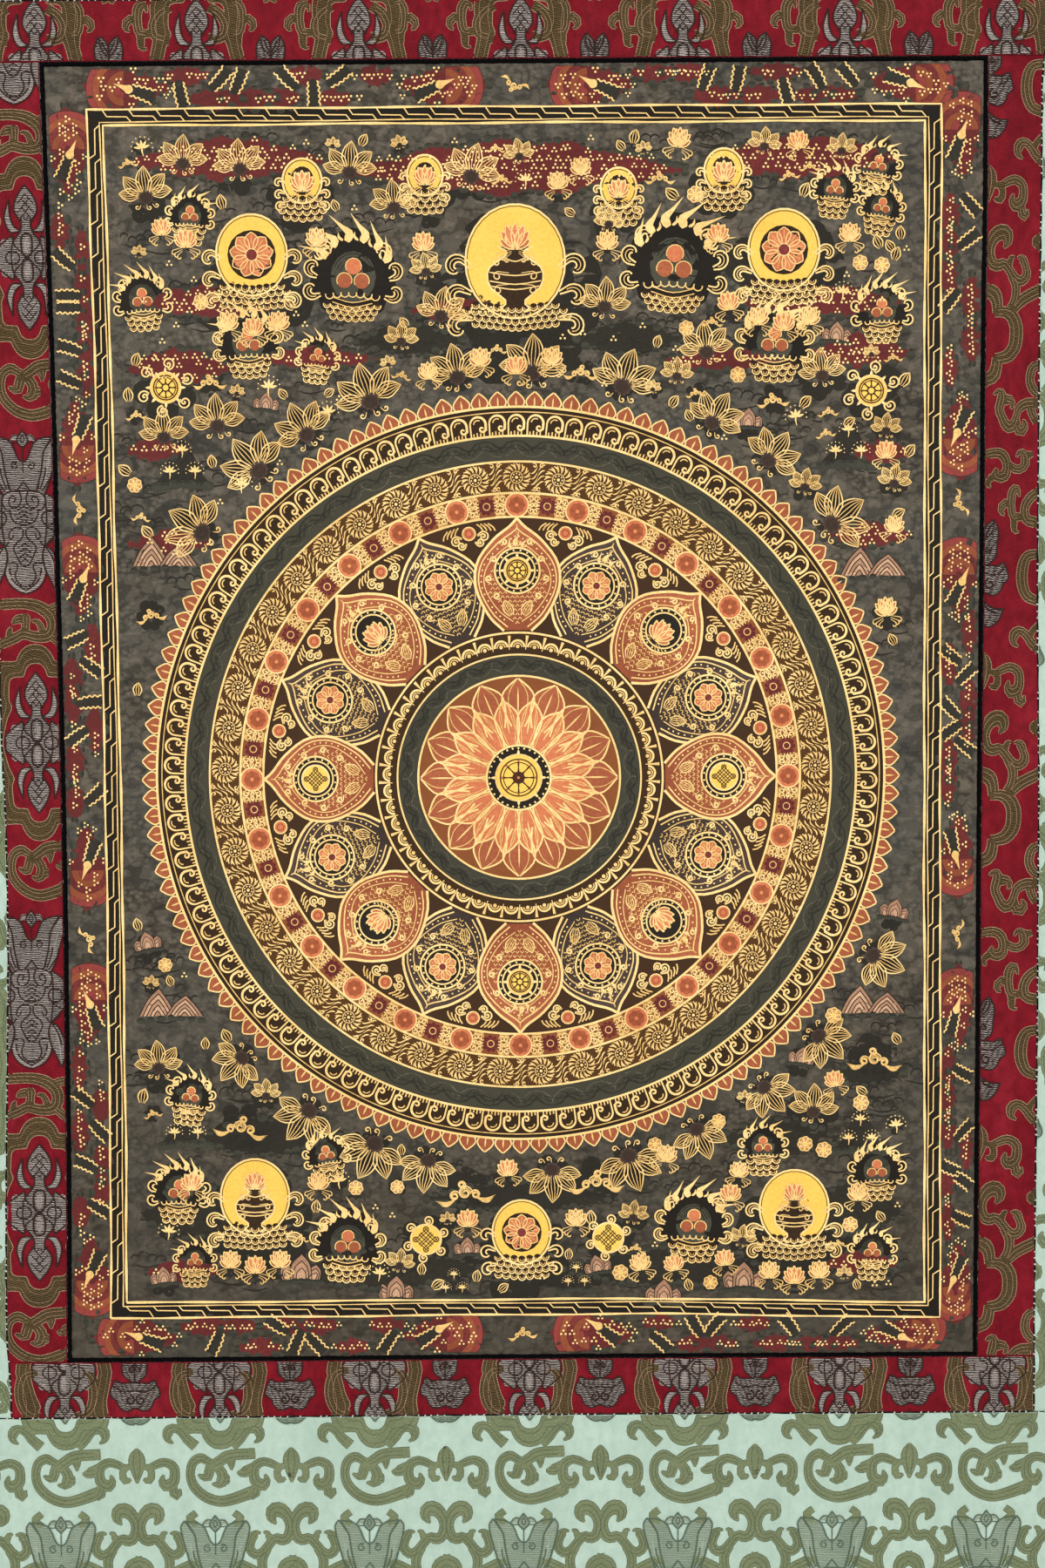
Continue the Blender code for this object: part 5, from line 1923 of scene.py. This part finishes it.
def drawField():
    sketch, small = {}, {fill: lotus(12.5, fill, 0.36) for fill in ("orange", "rust")}
    for paint, places in banks.items():
        for x, z, wide, high in places:
            cloudBank(sketch, x, z, wide, high, paint, paint == "maroon")
    for kind, x, z, wide in mains:
        for side in (1, -1)[:2 if x else 1]:
            drawMain(sketch, small, kind, x, z, wide, side)
    ringOfFans(sketch)
    fillRoom(sketch, small)
    drawScallops(sketch)
    return settle(sketch)


paintColours = {  # dark, middle and light tone of each paint
    "shade": (srgb(34, 31, 25), srgb(44, 41, 33), srgb(56, 53, 42)),
    "dark": (srgb(24, 19, 13), srgb(34, 28, 20), srgb(48, 46, 40)),
    "slate": (srgb(56, 57, 48), srgb(72, 71, 58), srgb(90, 86, 70)),
    "dusk": (srgb(50, 41, 36), srgb(66, 53, 47), srgb(84, 68, 60)),
    "maroon": (srgb(70, 27, 26), srgb(98, 37, 36), srgb(140, 60, 54)),
    "sand": (srgb(150, 112, 88), srgb(184, 142, 112), srgb(206, 168, 136)),
    "halo": (srgb(214, 160, 68), srgb(238, 190, 84), srgb(248, 208, 104)),
    "rust": (srgb(128, 66, 42), srgb(158, 86, 56), srgb(186, 110, 72)),
    "orange": (srgb(174, 92, 60), srgb(200, 114, 76), srgb(222, 146, 98)),
    "ink": (srgb(40, 26, 14), srgb(58, 39, 20), srgb(84, 56, 30)),
    "wave": (srgb(36, 36, 30), srgb(46, 46, 38), srgb(98, 94, 78)),
    "emberLine": (srgb(126, 58, 34), srgb(146, 72, 42), srgb(166, 88, 52)),
    "gold": (srgb(150, 112, 60), srgb(222, 180, 108), srgb(252, 220, 152)),
}


# paint thinned and worn unevenly, with the weave of the cloth showing in it
def paintMaterial(name, tones, roughness):
    material = newMaterial(name + "Paint", roughness)
    light = times(noise((0.5, 0.5), 3, 0.65), 0.55, times(attribute("tone"), 0.55))
    light = maths("ADD", light, times(noise((0.035, 0.035)), 0.4, -0.25))
    shade("Base Color", ramp(light, [(0.22 + 0.28 * i, tone) for i, tone in enumerate(tones)]))
    bump(maths("MAXIMUM", *plainWeave(0.7, 0.7)), 0.00008, 0.5)
    return material


def paintPicture():
    frameWork, field, rounds = {}, {}, {}
    drawFrame(frameWork)
    stamp(field, drawField(), medallion["x"], medallion["z"])
    stamp(rounds, drawMedallion(), medallion["x"], medallion["z"], size=rings["size"])
    box = (-pictureHalf, pictureBottom, 740.0)
    paints = {name: paintMaterial(name, tones, 0.42 if name == "gold" else 0.5) for name,
        tones in paintColours.items()}
    for name, sketch in (("field", field), ("medallion", rounds), ("frame", frameWork)):
        lay("painted_gold_" + name, sketch, "gold", paints["gold"], paintLift["gold"], box)
    parts = merged((field, rounds, frameWork))
    for paint in paintLift:
        if paint != "gold" and paint in parts:
            lay("painted_" + paint, parts, paint, paints[paint], paintLift[paint], box)


paintPicture()


# black edging strips with a frayed rim, the stitches of the seams, and a painted shadow strip along each seam
edging = {
    # across the strip and lift, in mm
    "front": ((0.0, -0.5), (0.12, 0.45), (0.7, 0.95), (1.5, 1.1), (2.2, 0.98), (2.65, 0.55), (2.8, -0.3)),
    "back": ((3.4, -1.0), (3.4, -1.5), (0.1, -1.5)),
    "step": 1.6, "fray": 0.14, "flatSize": 740.0,
}
stitch = {  # pitch, length, half width, slant
    "seam": (3.8, 0.7, 0.42, 0.62), "hem": (4.6, 2.2, 0.28, 0.0), "edging": (3.0, 1.9, 0.22, 0.0),
    "seamShadowHalf": 0.42,
}


threadColours = {
    "paleThread": (srgb(160, 160, 148), srgb(214, 216, 206), srgb(240, 242, 234)),
    "darkThreadAndSeamShadow": (srgb(10, 9, 9), srgb(20, 17, 17), srgb(34, 30, 30)),
}


def edgingMaterial():
    material = newMaterial("blackCotton", 0.95, specular=0.03)
    thread = maths("MAXIMUM", *plainWeave(0.5, 1.0))
    light = times(thread, 0.4, times(noise((0.9, 0.9), 3, 0.7), 0.6))
    shade("Base Color", ramp(light, [(0.35, srgb(3, 3, 4)), (0.85, srgb(15, 14, 16))]))
    bump(thread, 0.0002, 0.8)
    return material


# a rounded strip between two points, mitred where it meets the next; its turned edges close it behind
def layEdging(name, start, end, inward, material):
    start, end, inward = np.array(start, float), np.array(end, float), np.array(inward, float)
    way = (end - start) / np.linalg.norm(end - start)
    steps = int(np.linalg.norm(end - start) / edging["step"])
    along = np.linspace(0, 1, steps + 1)
    profile = edging["front"] + edging["back"]
    rough = np.random.default_rng(len(name) + int(abs(start[0])))
    rows, flats = [], []
    for k, (across, lift) in enumerate(profile):
        frayed = rough.normal(0, edging["fray"], steps + 1) if k in (0, 1, 5, 6) else 0.0
        first, last = start + way * across, end - way * across
        line = first + (last - first) * along[:, None] + inward * np.broadcast_to(across + frayed,
            steps + 1)[:, None]
        flats.append(line)
        rows.append(onCloth(line, lift))
    points, flat = np.vstack(rows), np.vstack(flats)
    count, n = len(profile), steps + 1
    ring, following = np.arange(count)[:, None] * n, np.roll(np.arange(count), -1)[:, None] * n
    k = np.arange(steps)[None, :]
    face = np.stack([part.ravel() for part in (ring + k, ring + k + 1, following + k + 1, following + k)],
        axis=1)
    if way[0] * inward[1] - way[1] * inward[0] < 0:
        face = face[:, ::-1]
    uv = np.stack([(flat - start) @ way, (flat - start) @ inward], axis=1) / edging["flatSize"] + [0, 0.01]
    uv[n * len(edging["front"]):, 1] += 0.02
    piece = finishMesh(name, points, face, uv, flat, materials=(material,))
    return piece


def layEdgings():
    material = edgingMaterial()
    half, top, low = edgingHalf, edgingTop, edgingBottom
    corners = {"left": ((-half, top), (-half, low), (1, 0)), "right": ((half, low), (half, top), (-1, 0)),
        "top": ((half, top), (-half, top), (0, -1)), "bottom": ((-half, low), (half, low), (0, 1))}
    for side, (start, end, inward) in corners.items():
        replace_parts(layEdging("edging_strip_" + side, start, end, inward, material), "edging_" + side)
    print("sewed on 4 edging strips")


# a row of stitches; each is the thread seen between two holes
def stitchLine(sketch, start, end, kind, seed, missing=0.0):
    pitch, long, half, slant = stitch[kind]
    luck = np.random.default_rng(seed)
    start, end = np.array(start, float), np.array(end, float)
    length = np.linalg.norm(end - start)
    way = (end - start) / length
    across = np.array([-way[1], way[0]])
    for i in range(int(length / pitch)):
        at = start + way * (pitch * (i + 0.5) + luck.normal(0, 0.2))
        lean = across * (slant + luck.normal(0, 0.08))
        reach = long * luck.uniform(0.85, 1.12) / 2
        path = [at - way * reach - lean, at - way * reach * 0.5 - lean * 0.5,
            at + way * reach * 0.5 + lean * 0.5, at + way * reach + lean]
        if luck.random() >= missing:
            one, other = sides(np.array(path), np.array([0.4, 1, 1, 0.4]) * half)
            ladder(sketch, "thread", one, other, luck.uniform(0.2, 1), crown=half * 0.9)


# a painted seam shadow: a narrow, slightly uneven near-black strip along a seam, standing in for the shade in
# its gap
def seamShadow(sketch, start, end):
    path = straight([start, end], 4.0)
    brush(sketch, "fold", path, stitch["seamShadowHalf"] * (1 + 0.35 * np.sin(np.arange(len(path)) * 1.3)), 0.3)


def sewSeams():
    # the dark material serves both the black edging thread and the painted seam shadow
    pale, dark = (figureThread(name, tones, 0.4) for name, tones in threadColours.items())
    box = (-scrollHalf, scrollBottom, 1180.0)
    edge = borderHalf + cut["gap"] / 2
    seams, hems, blacks, seamShadows = {}, {}, {}, {}
    for x in (-edge, edge):
        stitchLine(seams, (x, borderTop - 1), (x, borderBottom + 1), "seam", 5, 0.25)
        seamShadow(seamShadows, (x, borderTop - 0.5), (x, borderBottom + 0.5))
    for z in (borderTop + cut["gap"] / 2, borderBottom - cut["gap"] / 2):
        stitchLine(seams, (-scrollHalf + 2, z), (scrollHalf - 2, z), "seam", 6, 0.25)
        seamShadow(seamShadows, (-scrollHalf + 1, z), (scrollHalf - 1, z))
    hem, low = cut["sideHem"], scrollBottom + cut["sideHem"]
    for x in (-scrollHalf + hem - 2, scrollHalf - hem + 2):
        stitchLine(hems, (x, -cut["topHem"] - 2), (x, low), "hem", 7)
    stitchLine(hems, (-scrollHalf + 6, -cut["topHem"] + 2), (scrollHalf - 6, -cut["topHem"] + 2), "hem", 8)
    stitchLine(hems, (-scrollHalf + 12, low - 2), (scrollHalf - 12, low - 2), "hem", 9)
    for side in (-1, 1):
        stitchLine(blacks, (side * (edgingHalf - 0.6), edgingTop - 1),
            (side * (edgingHalf - 0.6), edgingBottom + 1), "edging", 10)
    for z in (edgingTop - 0.6, edgingBottom + 0.6):
        stitchLine(blacks, (-edgingHalf + 1, z), (edgingHalf - 1, z), "edging", 11)
    # the painted seam shadow: a near-black strip standing in for the shade in the gap between the cloths
    lay("seam_shadow_strip", seamShadows, "fold", dark, 0.05, box)
    lay("seam_stitches", seams, "thread", pale, 0.3, box)
    lay("hem_stitches", hems, "thread", pale, 0.08, box)
    lay("edging_stitches", blacks, "thread", dark, 0.98, box)


layEdgings()
sewSeams()
